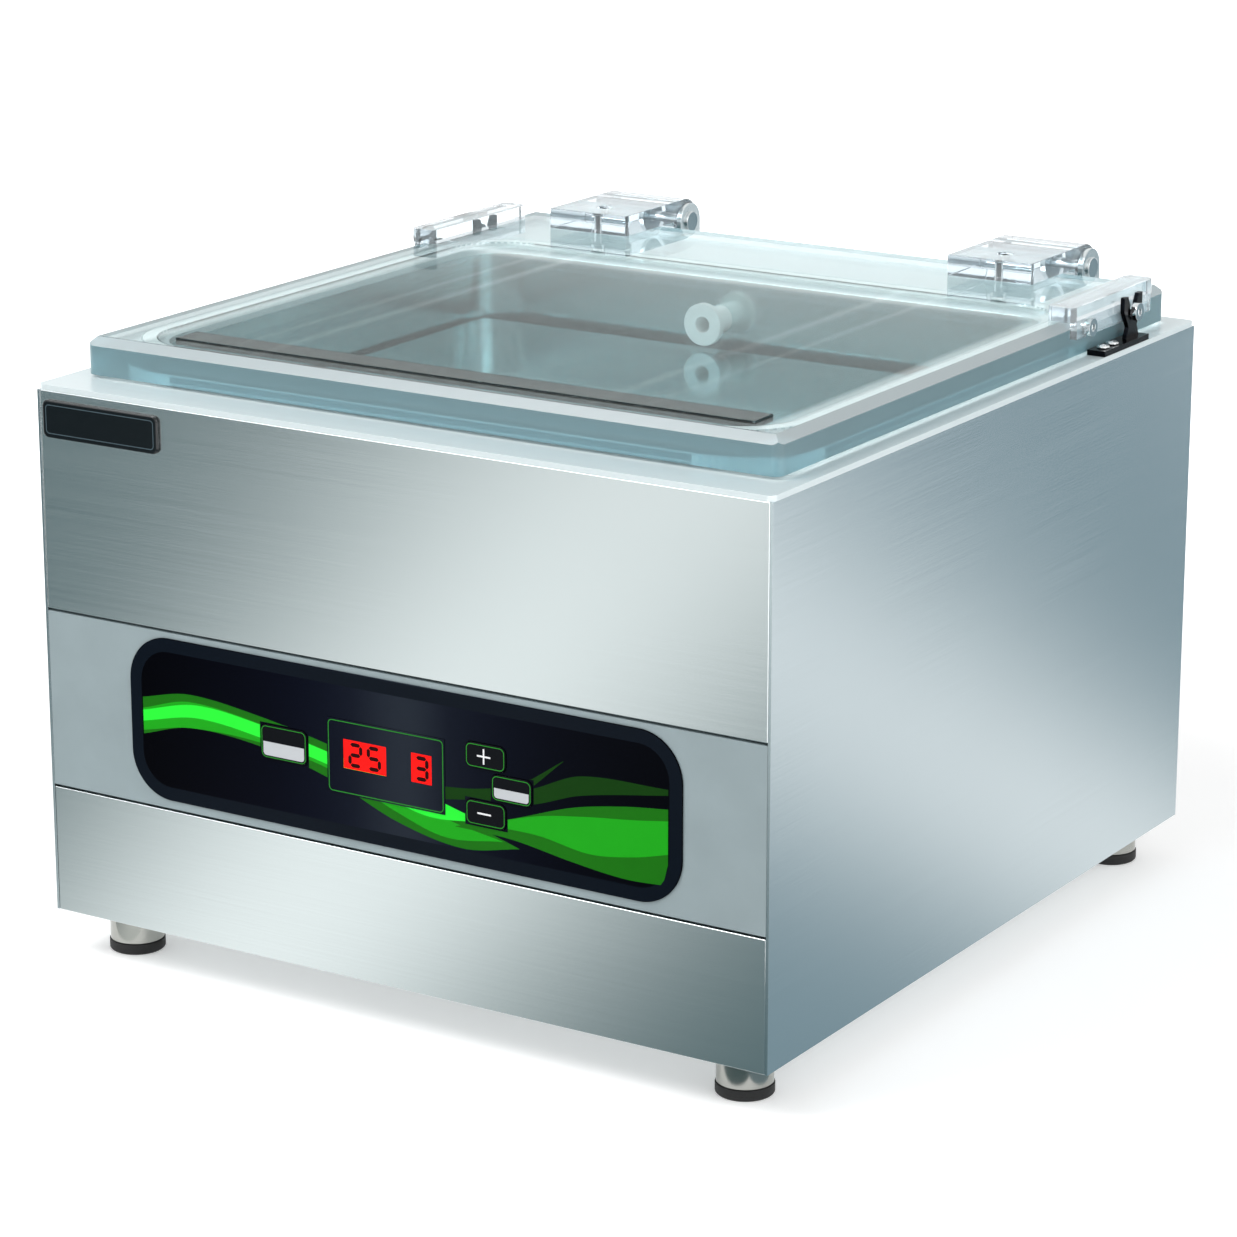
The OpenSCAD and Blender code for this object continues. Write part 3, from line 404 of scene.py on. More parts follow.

# %% [markdown]
# ## Chamber and seal bar
# The chamber is deep-drawn from bright sheet. Its loose shelf lies like a mirror, so the white nylon
# suction nozzle shows twice, and its steel is coloured darker and bluer than the tub's as painted shade.
# The bar is an aluminium extrusion under its tape, carried on two chromed rods.

# %% Chamber, seal bar and nozzle
rounded_copy("chamber_tub", tub_steel, edge=0.5)
# The shelf's darker, bluer colour is painted shade.
rounded_copy("product_shelf", shelf_metal_painted_shade, edge=0.5)
rounded_copy("suction_nozzle", nylon, edge=0.5, segments=3)
rounded_copy("seal_bar", extruded_aluminium, edge=0.4)
rounded_copy("tape_cover", bar_tape, edge=0.2)
rounded_copy("lift_cylinders", extruded_aluminium, edge=0.6)
rounded_copy("lift_rods", chrome, edge=0.3)
print("chamber finished, nozzle at", [round(v / MM, 1) for v in corners("suction_nozzle")[0]])

# %% [markdown]
# ## Clear lid
# The lid is a 20 mm cast slab. Its sawn edges and chamfer were only sanded, so they scatter light and
# look milky, while the top is as cast. The blocks screwed to it are separate castings, and a hair of
# air is left under each so that two clear faces never lie in one plane.

# %% Lid, hinge arms and side blocks
def recoat(piece, material, wanted):
    """Gives the faces whose normal passes a test their own material."""
    piece.data.materials.append(material)
    index = len(piece.data.materials) - 1
    for face in piece.data.polygons:
        if wanted(face.normal):
            face.material_index = index


lid = rounded_copy("lid_plate", lid_acrylic, edge=0.5, segments=3)
recoat(lid, sawn_acrylic, lambda normal: abs(normal.z) < 0.3)
recoat(lid, chamfer_acrylic, lambda normal: 0.3 <= normal.z < 0.9)
AIR_GAP = 0.08
for node in ("hinge_arm_left", "hinge_arm_right", "side_block_left", "side_block_right"):
    block = rounded_copy(node, block_acrylic, edge=0.8, segments=3)
    block.data.transform(Matrix.Translation((0, 0, AIR_GAP * MM)))
print("clear pieces: 5, air gap %.2f mm" % AIR_GAP)

# %% [markdown]
# ## Fittings
# Bolts and pins are chromed, the feet turned, the forks beside the lid blackened, and the hinge
# brackets brushed like the case. The silicone gasket is nearly white and the pad that meets the
# seal bar is grey-brown.

# %% Fittings
FITTINGS = {"side_block_bolts": (chrome, 0.3), "hinge_pins": (chrome, 0.3), "foot_cups": (foot_steel, 0.6),
            "guide_bracket_left": (black_steel, 0.3), "guide_bracket_right": (black_steel, 0.3),
            "hinge_bracket_left": (case_steel, 0.4), "hinge_bracket_right": (case_steel, 0.4),
            "lid_gasket": (white_silicone, 0.5), "counter_pad": (brown_silicone, 0.5),
            "foot_pads": (foot_rubber, 0.4), "power_entry": (black_abs, 0.3),
            "power_rocker": (black_abs, 0.4), "gas_inlet": (turned_brass, 0.3)}
for node, (material, edge) in FITTINGS.items():
    fitting = rounded_copy(node, material, edge=edge)
    if node in ("lid_gasket", "counter_pad"):
        fitting.data.transform(Matrix.Translation((0, 0, -AIR_GAP * MM)))
print("fittings finished:", len(FITTINGS))

# %% [markdown]
# ## Screws and louvre hoods, made by node graphs
# What repeats is made once and placed many times by a geometry node graph. Its inputs are named, its
# seed is fixed, and each point carries the direction that its copy faces. The graph is applied as
# soon as it has run, so the finished piece is a plain mesh.

# %% Node graph helpers
def new_graph(name, inputs):
    """A geometry graph whose named inputs have the given values. Returns it with its two ends."""
    tree = bpy.data.node_groups.new(name, "GeometryNodeTree")
    tree.interface.new_socket("Geometry", in_out="INPUT", socket_type="NodeSocketGeometry")
    tree.interface.new_socket("Geometry", in_out="OUTPUT", socket_type="NodeSocketGeometry")
    for label, value in inputs.items():
        kind = "NodeSocketInt" if isinstance(value, int) else "NodeSocketFloat"
        socket = tree.interface.new_socket(label, in_out="INPUT", socket_type=kind)
        socket.default_value = value
    return tree, add(tree, "NodeGroupInput"), add(tree, "NodeGroupOutput")


def grow(name, graph, values, places, like, *replaced):
    """Runs a graph on points that face given ways and returns the plain mesh that it makes."""
    mesh = bpy.data.meshes.new(name)
    mesh.from_pydata([spot for spot, facing in places], [], [])
    facing = mesh.attributes.new("facing", "FLOAT_VECTOR", "POINT")
    facing.data.foreach_set("vector", [c for spot, way in places for c in way])
    piece = bpy.data.objects.new(name, mesh)
    bpy.context.scene.collection.objects.link(piece)
    modifier = piece.modifiers.new("graph", "NODES")
    modifier.node_group = graph
    for item in graph.interface.items_tree:
        if item.in_out == "INPUT" and item.name in values:
            modifier[item.identifier] = values[item.name]
    settle(piece)
    if replaced:
        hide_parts(*replaced)
    return adopt(piece, like, name)


def finish_graph(tree, end, geometry, material):
    """Realizes the instances and sets their material."""
    real = add(tree, "GeometryNodeRealizeInstances", links={0: geometry})
    coat = add(tree, "GeometryNodeSetMaterial", links={"Geometry": real.outputs[0]})
    coat.inputs["Material"].default_value = material
    tree.links.new(coat.outputs[0], end.inputs[0])


def islands(node):
    """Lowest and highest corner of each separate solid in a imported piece."""
    bm = bmesh.new()
    bm.from_mesh(nodes[node].data)
    bmesh.ops.remove_doubles(bm, verts=bm.verts, dist=0.002 * MM)
    found, seen_verts = [], set()
    for first in bm.verts:
        if first.index in seen_verts:
            continue
        group, queue = [], [first]
        seen_verts.add(first.index)
        while queue:
            vert = queue.pop()
            group.append(vert.co.copy())
            for edge in vert.link_edges:
                other = edge.other_vert(vert)
                if other.index not in seen_verts:
                    seen_verts.add(other.index)
                    queue.append(other)
        found.append((Vector([min(c[i] for c in group) for i in range(3)]),
                      Vector([max(c[i] for c in group) for i in range(3)])))
    bm.free()
    return found


print("graph helpers ready")

# %% [markdown]
# A pan-head screw is a short shank, a flattened dome and a cross recess pressed into it. Each one
# stopped turning at its own angle, which the seed decides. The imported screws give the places, the
# ways they face and their sizes.

# %% Pan-head screws
def screw_graph(name, material):
    """One screw per point, facing along the point's own direction."""
    tree, start, end = new_graph(name, {"Head radius": 3.5 * MM, "Head height": 2.0 * MM,
                                        "Shank radius": 1.8 * MM, "Shank length": 8.0 * MM,
                                        "Seed": 7})
    get = start.outputs
    dome = add(tree, "GeometryNodeMeshUVSphere", {"Segments": 28, "Rings": 14, "Radius": 1.0})
    size = add(tree, "ShaderNodeCombineXYZ", links={0: get["Head radius"], 1: get["Head radius"],
               2: get["Head height"]})
    head = add(tree, "GeometryNodeTransform", links={"Geometry": dome.outputs[0],
               "Scale": size.outputs[0]})
    under = add(tree, "GeometryNodeMeshCube", {"Size": (0.05, 0.05, 0.05)})
    below = add(tree, "GeometryNodeTransform", {"Translation": (0, 0, -0.025)},
                {"Geometry": under.outputs[0]})
    half = add(tree, "GeometryNodeMeshBoolean", links={"Mesh 1": head.outputs[0]}, operation="DIFFERENCE")
    tree.links.new(below.outputs[0], half.inputs["Mesh 2"])
    slot_size = add(tree, "ShaderNodeVectorMath", {1: (1.1, 0.24, 1.1)}, {0: size.outputs[0]},
                    operation="MULTIPLY")
    lift = add(tree, "ShaderNodeCombineXYZ", links={2: get["Head height"]})
    cutters = []
    for turn in (0, math.pi / 2):
        bar = add(tree, "GeometryNodeMeshCube", links={"Size": slot_size.outputs[0]})
        placed = add(tree, "GeometryNodeTransform", {"Rotation": (0, 0, turn)},
                     {"Geometry": bar.outputs[0], "Translation": lift.outputs[0]})
        cutters.append(placed)
    crossed = add(tree, "GeometryNodeMeshBoolean", links={"Mesh 1": half.outputs["Mesh"]},
                  operation="DIFFERENCE")
    for cutter in cutters:
        tree.links.new(cutter.outputs[0], crossed.inputs["Mesh 2"])
    rod = add(tree, "GeometryNodeMeshCylinder", {"Vertices": 20}, {"Radius": get["Shank radius"],
              "Depth": get["Shank length"]})
    drop = add(tree, "ShaderNodeMath", {1: -0.5}, {0: get["Shank length"]}, operation="MULTIPLY")
    down = add(tree, "ShaderNodeCombineXYZ", links={2: drop.outputs[0]})
    shank = add(tree, "GeometryNodeTransform", links={"Geometry": rod.outputs[0],
                "Translation": down.outputs[0]})
    screw = add(tree, "GeometryNodeJoinGeometry")
    for part in (crossed.outputs["Mesh"], shank.outputs[0]):
        tree.links.new(part, screw.inputs[0])
    way = add(tree, "GeometryNodeInputNamedAttribute", {"Name": "facing"}, data_type="FLOAT_VECTOR")
    aim = add(tree, "FunctionNodeAlignRotationToVector", links={"Vector": way.outputs[0]}, axis="Z")
    turned = add(tree, "FunctionNodeRandomValue", {2: 0.0, 3: 2 * math.pi}, {"Seed": get["Seed"]},
                 data_type="FLOAT")
    spin_axis = add(tree, "ShaderNodeCombineXYZ", links={2: turned.outputs[1]})
    spin = add(tree, "FunctionNodeEulerToRotation", links={0: spin_axis.outputs[0]})
    both = add(tree, "FunctionNodeRotateRotation", links={0: aim.outputs[0], 1: spin.outputs[0]},
               rotation_space="LOCAL")
    copies = add(tree, "GeometryNodeInstanceOnPoints", links={"Points": get[0],
                 "Instance": screw.outputs[0], "Rotation": both.outputs[0]})
    finish_graph(tree, end, copies.outputs[0], material)
    return tree


def screw_set(node, material, facing_of):
    """Screws in place of a packed set, each of the size of the solid it stands for."""
    kinds = {}
    for low, high in islands(node):
        way = facing_of(low, high)
        axis = max(range(3), key=lambda i: abs(way[i]))
        head_r = max(high[i] - low[i] for i in range(3) if i != axis) / 2
        centre = (low + high) / 2
        centre[axis] = high[axis] if way[axis] > 0 else low[axis]
        kinds.setdefault((round(head_r / MM, 2), round((high[axis] - low[axis]) / MM, 2)), []).append(
            (centre, way))
    made = []
    for number, ((head_r, whole), places) in enumerate(sorted(kinds.items())):
        head_h = head_r * 0.42
        seats = [(spot - Vector(way) * head_h * MM, way) for spot, way in places]
        values = {"Head radius": head_r * MM, "Head height": head_h * MM,
                  "Shank radius": head_r * 0.5 * MM, "Shank length": (whole - head_h) * MM,
                  "Seed": 7 + number}
        made.append(grow("%s_%d" % (node, number), screw_graph(node + "_graph", material), values,
                         seats, node, node))
    return made


def along_shank(low, high):
    """The way a case screw faces: along its longest side, to the rear or up."""
    size = high - low
    axis = max(range(3), key=lambda i: size[i])
    return tuple(float(i == axis) for i in range(3))


bright_screws = screw_set("case_screws", chrome, along_shank)
dark_screws = screw_set("clear_block_screws", black_steel, lambda low, high: (0, 0, 1))
print("screw pieces:", [(s.name, len(s.data.polygons)) for s in bright_screws + dark_screws])
facings = [along_shank(low, high) for low, high in islands("case_screws")]
print("case screws facing right, rear, up:", [sum(way[i] for way in facings) for i in range(3)])
print("made to, mm:", reach_mm(bright_screws[0])[3:], "packed to:",
      [round(v / MM, 1) for v in corners("case_screws")[1]])

# %% [markdown]
# The rear panel breathes through two columns of slots. A press makes each one with a small hood over
# it, a quarter round that opens downward. The graph sweeps a quarter disc along the slot's length.

# %% Louvre hoods
HOOD_LENGTH, HOOD_DEPTH = 82.0 * MM, 5.0 * MM
COLUMN_X, LOWEST_SLOT_Z, SLOT_PITCH, SLOTS = 62 * MM, 46 * MM, 12 * MM, 7


def hood_graph(material):
    """A quarter-round hood along X at each point."""
    tree, start, end = new_graph("louvre_hood", {"Length": HOOD_LENGTH, "Depth": HOOD_DEPTH})
    get = start.outputs
    rail = add(tree, "GeometryNodeCurvePrimitiveLine", {"Start": (-0.5, 0, 0), "End": (0.5, 0, 0)})
    stretch = add(tree, "ShaderNodeCombineXYZ", {1: 1.0, 2: 1.0}, {0: get["Length"]})
    long_rail = add(tree, "GeometryNodeTransform", links={"Geometry": rail.outputs[0],
                    "Scale": stretch.outputs[0]})
    quarter = add(tree, "GeometryNodeCurveArc", {"Resolution": 12, "Start Angle": math.pi,
                  "Sweep Angle": math.pi / 2, "Connect Center": True}, {"Radius": get["Depth"]})
    swept = add(tree, "GeometryNodeCurveToMesh", {"Fill Caps": True},
                {"Curve": long_rail.outputs[0], "Profile Curve": quarter.outputs[0]})
    copies = add(tree, "GeometryNodeInstanceOnPoints", links={"Points": get[0],
                 "Instance": swept.outputs[0]})
    finish_graph(tree, end, copies.outputs[0], material)
    return tree


rear_low, rear_high = corners("rear_panel")
slot_places = [(Vector((side * COLUMN_X, rear_high.y, rear_low.z + LOWEST_SLOT_Z + SLOT_PITCH * i)),
                (0, 0, 1)) for side in (-1, 1) for i in range(SLOTS)]
hoods = grow("rear_louvre_hoods", hood_graph(case_steel),
             {"Length": HOOD_LENGTH, "Depth": HOOD_DEPTH}, slot_places, "rear_panel")
print("hoods, mm:", reach_mm(hoods), "panel's rear face at", round(rear_high.y / MM, 1))

# %% [markdown]
# ## Unseen pieces
# The pump, motor, valves and electrics are inside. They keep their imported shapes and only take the
# finish of the real material.

# %% Finishes of the inner pieces
inner_finish = {
    "heating_strip": turned_brass, "contact_posts": turned_brass, "contact_sockets": black_abs,
    "pump_housing": cast_paint, "pump_end_cover": cast_paint, "vane_rotor": extruded_aluminium,
    "motor_housing": cast_paint, "motor_stator": copper_enamel, "motor_rotor": extruded_aluminium,
    "cooling_fan": black_abs, "fan_cowl": cast_paint, "pump_mounts": foot_rubber,
    "exhaust_filter": strip_paint, "transformer": cast_paint, "valve_block": extruded_aluminium,
    "vacuum_hoses": hose_rubber, "control_board": solder_mask,
}
for node, material in inner_finish.items():
    coat(node, material)
print("inner pieces:", len(inner_finish))

# %% [markdown]
# ## Membrane panel
# The panel is a glossy printed film. Its print is black, with a navy rim printed round it. A soft sheen in
# the middle, navy with pale grey at its very middle, is a painted highlight carried by the film's own
# material, worked out from each point's place along it.

# %% Printed film
film_low, film_high = corners("membrane_panel")
FILM_X = (film_low.x + film_high.x) / 2
FILM_Z = (film_low.z + film_high.z) / 2
FILM_W = (film_high.x - film_low.x) / MM
FILM_H = (film_high.z - film_low.z) / MM
FILM_Y = film_low.y
RIM = 8
KEYS = {"key_start": "half", "key_set": "half", "key_plus": "+", "key_minus": "-"}


def printed_film(name):
    """Glossy film, black at its ends, with a painted highlight towards its middle: navy, and pale grey at
    the very middle.
    """
    mat, tree, out = start_material(name)
    coords = add(tree, "ShaderNodeTexCoord")
    centred = add(tree, "ShaderNodeMapping", {"Location": (-FILM_X, 0, -FILM_Z)},
                  {"Vector": coords.outputs["Object"]})
    axes = add(tree, "ShaderNodeSeparateXYZ", links={0: centred.outputs[0]})
    along = add(tree, "ShaderNodeMapRange", {"From Min": -0.16, "From Max": 0.16},
                {"Value": axes.outputs["X"]})
    painted_highlight_ramp = add(tree, "ShaderNodeValToRGB", links={0: along.outputs[0]})
    stops = painted_highlight_ramp.color_ramp
    stops.interpolation = "B_SPLINE"
    stops.elements[0].color = linear("#020204")
    stops.elements[1].color = linear("#030409")
    # The navy stops and the pale grey stop at 0.52 are a painted highlight on the film.
    for spot, colour in ((0.25, "#040612"), (0.42, "#0b1020"), (0.52, "#2c333c"), (0.6, "#0c1120"),
                         (0.8, "#04060f")):
        stop = stops.elements.new(spot)
        stop.color = linear(colour)
    film = add(tree, "ShaderNodeBsdfPrincipled",
               {"Roughness": 0.2, "IOR": 1.5, "Specular IOR Level": 0.03},
               {"Base Color": painted_highlight_ramp.outputs[0]})
    finish_surface(tree, out, film)
    return mat


film_black = printed_film("film_with_painted_highlight")
rounded_copy("membrane_panel", film_black, edge=0.15)
print("film, mm: %.0f x %.0f" % (FILM_W, FILM_H))


def ink(name, colour, glow=0.0, rough=0.16):
    """A printed colour under the glossy film; the badge's rim line uses it for a painted highlight."""
    return moulded(name, colour, rough, grit=0.5 * MM, texture=0.0, shift=0.02, glow=glow, shine=0.06)


navy_ink = ink("navy_ink", "#0a121c")
bright_green = ink("bright_green_ink", "#2ef53c")
leaf_green = ink("leaf_green_ink", "#1fa51c")
deep_green = ink("deep_green_ink", "#1b6f12")
shade_green = ink("shade_green_ink", "#123c0c")
line_green = ink("line_green_ink", "#2c8a2c")
white_ink = ink("white_ink", "#eef0f2")
silver_ink = ink("silver_ink", "#c4c8cc")
segment_dark = ink("dark_segment", "#2a0505", rough=0.4)
lit_red = ink("lit_red_window", "#f5120f", glow=0.35, rough=0.3)
INKS = [navy_ink, bright_green, leaf_green, deep_green, shade_green, line_green, white_ink,
        silver_ink, segment_dark, lit_red, film_black]
print("inks:", len(INKS))

# %% [markdown]
# The artwork is printed in layers, as silk-screen inks are. Each colour here is a thin sheet, at most
# a tenth of a millimetre proud of the film, so that no two layers share a plane. A sheet is drawn as
# an outline in millimetres from the middle of the panel, and one function gives it its thickness.

# %% Print helpers
def on_film(node):
    """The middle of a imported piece, from the film's middle, and its width and height, all in mm."""
    low, high = corners(node)
    middle = (low + high) / 2
    return ((middle.x - FILM_X) / MM, (middle.z - FILM_Z) / MM), (high.x - low.x) / MM, (high.z - low.z) / MM


def sheet(bm, outline, ink_used, lift, deep=0.03, centre=(0, 0), y=None):
    """Adds a thin sheet with the outline (x, z in mm), lift mm in front of the film."""
    front = (FILM_Y if y is None else y) - lift * MM
    rings = []
    for back in (0, deep * MM):
        rings.append([bm.verts.new((FILM_X + (px + centre[0]) * MM, front + back,
                                    FILM_Z + (pz + centre[1]) * MM)) for px, pz in outline])
    index = INKS.index(ink_used)
    near, far = rings
    faces = [bm.faces.new(near), bm.faces.new(list(reversed(far)))]
    count = len(near)
    for i in range(count):
        j = (i + 1) % count
        faces.append(bm.faces.new((near[j], near[i], far[i], far[j])))
    for face in faces:
        face.material_index = index


def rounded_outline(w, h, r, steps=8):
    """A rectangle with round corners, drawn anticlockwise as seen from the front."""
    points = []
    for cx, cz, start in ((w / 2 - r, h / 2 - r, 0), (-w / 2 + r, h / 2 - r, 90),
                          (-w / 2 + r, -h / 2 + r, 180), (w / 2 - r, -h / 2 + r, 270)):
        for i in range(steps + 1):
            a = math.radians(start + 90 * i / steps)
            points.append((cx + r * math.cos(a), cz + r * math.sin(a)))
    return points


def frame_line(bm, w, h, r, thick, ink_used, lift, centre=(0, 0), y=None):
    """A closed line of the given thickness, as short joined sheets."""
    outer = rounded_outline(w, h, r)
    inner = rounded_outline(w - 2 * thick, h - 2 * thick, max(r - thick, 0.1))
    count = len(outer)
    for i in range(count):
        j = (i + 1) % count
        if (Vector(outer[i]) - Vector(outer[j])).length < 1e-6:
            continue
        sheet(bm, [outer[i], outer[j], inner[j], inner[i]], ink_used, lift, centre=centre, y=y)


def smooth_line(points, x):
    """Height at x of a smooth curve through a few points."""
    for i in range(len(points) - 1):
        if x <= points[i + 1][0] or i == len(points) - 2:
            break
    (x0, z0), (x1, z1) = points[i], points[i + 1]
    before = points[max(i - 1, 0)]
    after = points[min(i + 2, len(points) - 1)]
    slope0 = (z1 - before[1]) / (x1 - before[0]) if x1 != before[0] else 0
    slope1 = (after[1] - z0) / (after[0] - x0) if after[0] != x0 else 0
    t = (x - x0) / (x1 - x0)
    span = x1 - x0
    return ((2 * t**3 - 3 * t**2 + 1) * z0 + (t**3 - 2 * t**2 + t) * span * slope0
            + (-2 * t**3 + 3 * t**2) * z1 + (t**3 - t**2) * span * slope1)


def window_half(x):
    """Half the height of the panel's window at x, with its round corners."""
    w, h, r = FILM_W / 2 - RIM, FILM_H / 2 - RIM * 0.6, 17
    over = abs(x) - (w - r)
    return h if over <= 0 else h - r + math.sqrt(max(r * r - over * over, 0))


def key_holes(margin=0.3):
    """The rectangles of the keys on the panel, which the print leaves free so that they can sink."""
    holes = []
    for key in KEYS:
        (x, z), w, h = on_film(key)
        holes.append((x - w / 2 - margin, x + w / 2 + margin, z - h / 2 - margin, z + h / 2 + margin))
    return holes


def band(bm, top, low, ink_used, lift, steps=60):
    """A flowing band between two smooth curves, cut off at the window and round the keys."""
    x0, x1 = top[0][0], top[-1][0]
    cuts = {x0 + (x1 - x0) * i / steps for i in range(steps + 1)}
    cuts |= {x for hole in key_holes() for x in hole[:2] if x0 < x < x1}
    cuts = sorted(cuts)
    for xa, xb in zip(cuts, cuts[1:]):
        spans = [(-1e3, 1e3)]
        for left, right, bottom, ceiling in key_holes():
            if left < (xa + xb) / 2 < right:
                spans = [cut for lo, hi in spans for cut in ((lo, min(hi, bottom)), (max(lo, ceiling), hi))
                         if cut[1] > cut[0]]
        for lo, hi in spans:
            quad = []
            for x, line in ((xa, low), (xb, low), (xb, top), (xa, top)):
                limit = window_half(x)
                z = max(-limit, min(limit, smooth_line(line, x)))
                quad.append((x, max(lo, min(hi, z))))
            if quad[3][1] - quad[0][1] + quad[2][1] - quad[1][1] > 0.02:
                sheet(bm, quad, ink_used, lift)


def finish_print(bm, name, like):
    """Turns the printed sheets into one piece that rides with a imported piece."""
    mesh = bpy.data.meshes.new(name)
    bmesh.ops.remove_doubles(bm, verts=bm.verts, dist=0.0005 * MM)
    bm.to_mesh(mesh)
    bm.free()
    for material in INKS:
        mesh.materials.append(material)
    piece = bpy.data.objects.new(name, mesh)
    bpy.context.scene.collection.objects.link(piece)
    return adopt(piece, like, name)


print("keys left free of print:", len(key_holes()))

# %% [markdown]
# The bands run from the left rim, under the display, and open out to the right. Their greens go from
# deep to bright, each layer a little prouder than the one before.

# %% Panel artwork
EDGE = FILM_W / 2 - RIM
art = bmesh.new()
frame_line(art, FILM_W - 0.6, FILM_H - 0.6, 24.7, RIM - 1, navy_ink, 0.02)
band(art, [(-EDGE, 10), (-130, 16), (-85, 12), (-40, 4), (0, -5), (40, -20), (74, -30)],
     [(-EDGE, -10), (-130, -2), (-85, -4), (-40, -14), (0, -29), (40, -36), (74, -30.2)],
     deep_green, 0.04)
band(art, [(-EDGE, 4), (-130, 12), (-85, 8), (-40, 0), (0, -10), (30, -22), (64, -28)],
     [(-EDGE, -8), (-130, -2), (-85, -2), (-40, -9), (0, -24), (30, -32), (64, -28.2)],
     leaf_green, 0.06)
band(art, [(-EDGE, 3), (-125, 11), (-80, 7), (-40, 0), (-10, -5), (20, -12), (52, -20)],
     [(-EDGE, -3), (-125, 4), (-80, 0), (-40, -7), (-10, -16), (20, -23), (52, -20.2)],
     bright_green, 0.08)
band(art, [(24, -10), (50, -4), (80, 2), (110, 14), (EDGE, 16)],
     [(24, -13), (50, -9), (80, -6), (110, 4), (EDGE, 13)],
     shade_green, 0.04)
band(art, [(24, -6), (50, -3), (75, 4), (100, 20)],
     [(24, -9), (50, -8), (75, -1), (100, 19.6)],
     shade_green, 0.05)
band(art, [(36, -25), (70, -15), (105, -3), (135, 3), (EDGE, 6)],
     [(36, -25.2), (70, -26), (105, -31), (135, -34), (EDGE, -33)],
     deep_green, 0.09)
band(art, [(52, -21), (85, -11), (115, -6), (140, -3), (EDGE, 0)],
     [(52, -21.2), (85, -21), (115, -25), (140, -22), (EDGE, -17)],
     leaf_green, 0.10)
panel_art = finish_print(art, "panel_artwork", "membrane_panel")
print("artwork faces:", len(panel_art.data.polygons), "proud of the film, mm: %.2f"
      % ((FILM_Y - min(vert.co.y for vert in panel_art.data.vertices)) / MM))

# %% [markdown]
# ## Display and keys
# The display is a dark lens with a thin green line, and two lit red windows with dark numerals.
# Each numeral is made of the seven bars of a segment display.

# %% Segment numerals
SEGMENTS = {"2": "abged", "3": "abgcd", "5": "afgcd"}


def numeral(bm, digit, centre, w, h, thick, y):
    """Seven-segment numeral as seen from the front; only its lit bars are drawn."""
    half = (h - thick) / 2
    gap = 0.25
    spots = {"a": (0, half, True), "g": (0, 0, True), "d": (0, -half, True),
             "b": ((w - thick) / 2, half / 2, False), "f": (-(w - thick) / 2, half / 2, False),
             "c": ((w - thick) / 2, -half / 2, False), "e": (-(w - thick) / 2, -half / 2, False)}
    for letter in SEGMENTS[digit]:
        cx, cz, flat = spots[letter]
        tip = (w - thick if flat else half) / 2 - gap
        t = thick / 2
        bar = [(tip, 0), (tip - t, t), (-tip + t, t), (-tip, 0), (-tip + t, -t), (tip - t, -t)]
        if not flat:
            bar = [(-z, x) for x, z in bar]
        sheet(bm, bar, segment_dark, 0.05, centre=(centre[0] + cx, centre[1] + cz), y=y)


coat("display_modules", lit_red)
# The lens takes the film's finish, with its painted highlight.
rounded_copy("display_lens", film_black, edge=0.15)
lens_centre, lens_w, lens_h = on_film("display_lens")
digit_z = on_film("display_modules")[0][1]
digits = bmesh.new()
for digit, digit_x in (("2", -24.6), ("5", -13.2), ("3", 15.8)):
    numeral(digits, digit, (digit_x, digit_z), 8.8, 13.0, 2.1, corners("display_modules")[0].y)
frame_line(digits, lens_w - 1.6, lens_h - 1.6, 2.5, 0.5, line_green, 0.03, centre=lens_centre,
           y=corners("display_lens")[0].y)
numerals = finish_print(digits, "display_numerals", "display_lens")
print("numeral faces:", len(numerals.data.polygons))

# %% [markdown]
# Each key is a domed cap of glossy film with a green outline. Two of them are half silver, and the
# others carry a plus and a minus sign in white.

# %% Keys and their symbols
KEY_FINISH = ink("key_black", "#0b0e13")
INKS.append(KEY_FINISH)
for node, symbol in KEYS.items():
    rounded_copy(node, KEY_FINISH, edge=0.5, segments=3)
    centre, w, h = on_film(node)
    w, h = w - 1, h - 1
    face_y = corners(node)[0].y
    mark = bmesh.new()
    frame_line(mark, w - 1.2, h - 1.2, 2.8, 0.45, line_green, 0.03, centre=centre, y=face_y)
    if symbol == "half":
        lower = [(x, z) for x, z in rounded_outline(w - 3.4, h - 3.4, 1.8) if z <= 0.0]
        lower = lower + [(w / 2 - 1.7, 0), (-w / 2 + 1.7, 0)]
        lower.sort(key=lambda p: math.atan2(p[1] + h / 4, p[0]))
        sheet(mark, lower, silver_ink, 0.03, centre=centre, y=face_y)
    else:
        bar = [(4.0, -0.45), (4.0, 0.45), (-4.0, 0.45), (-4.0, -0.45)]
        aside = (centre[0] - 0.8, centre[1])
        sheet(mark, bar, white_ink, 0.05, centre=aside, y=face_y)
        if symbol == "+":
            sheet(mark, [(-z, x) for x, z in bar], white_ink, 0.08, centre=aside, y=face_y)
    finish_print(mark, node + "_symbol", node)
print("keys finished:", list(KEYS))

# %% [markdown]
# ## Badge
# A small black plate is stuck to the front. Its face is domed clear resin over black, so it is very
# glossy. A paler grey line just inside its rim is a painted highlight on the dome's edge.

# %% Badge
badge_gloss = moulded("domed_black_resin", "#0d1216", 0.12, grit=4 * MM, texture=0.02)
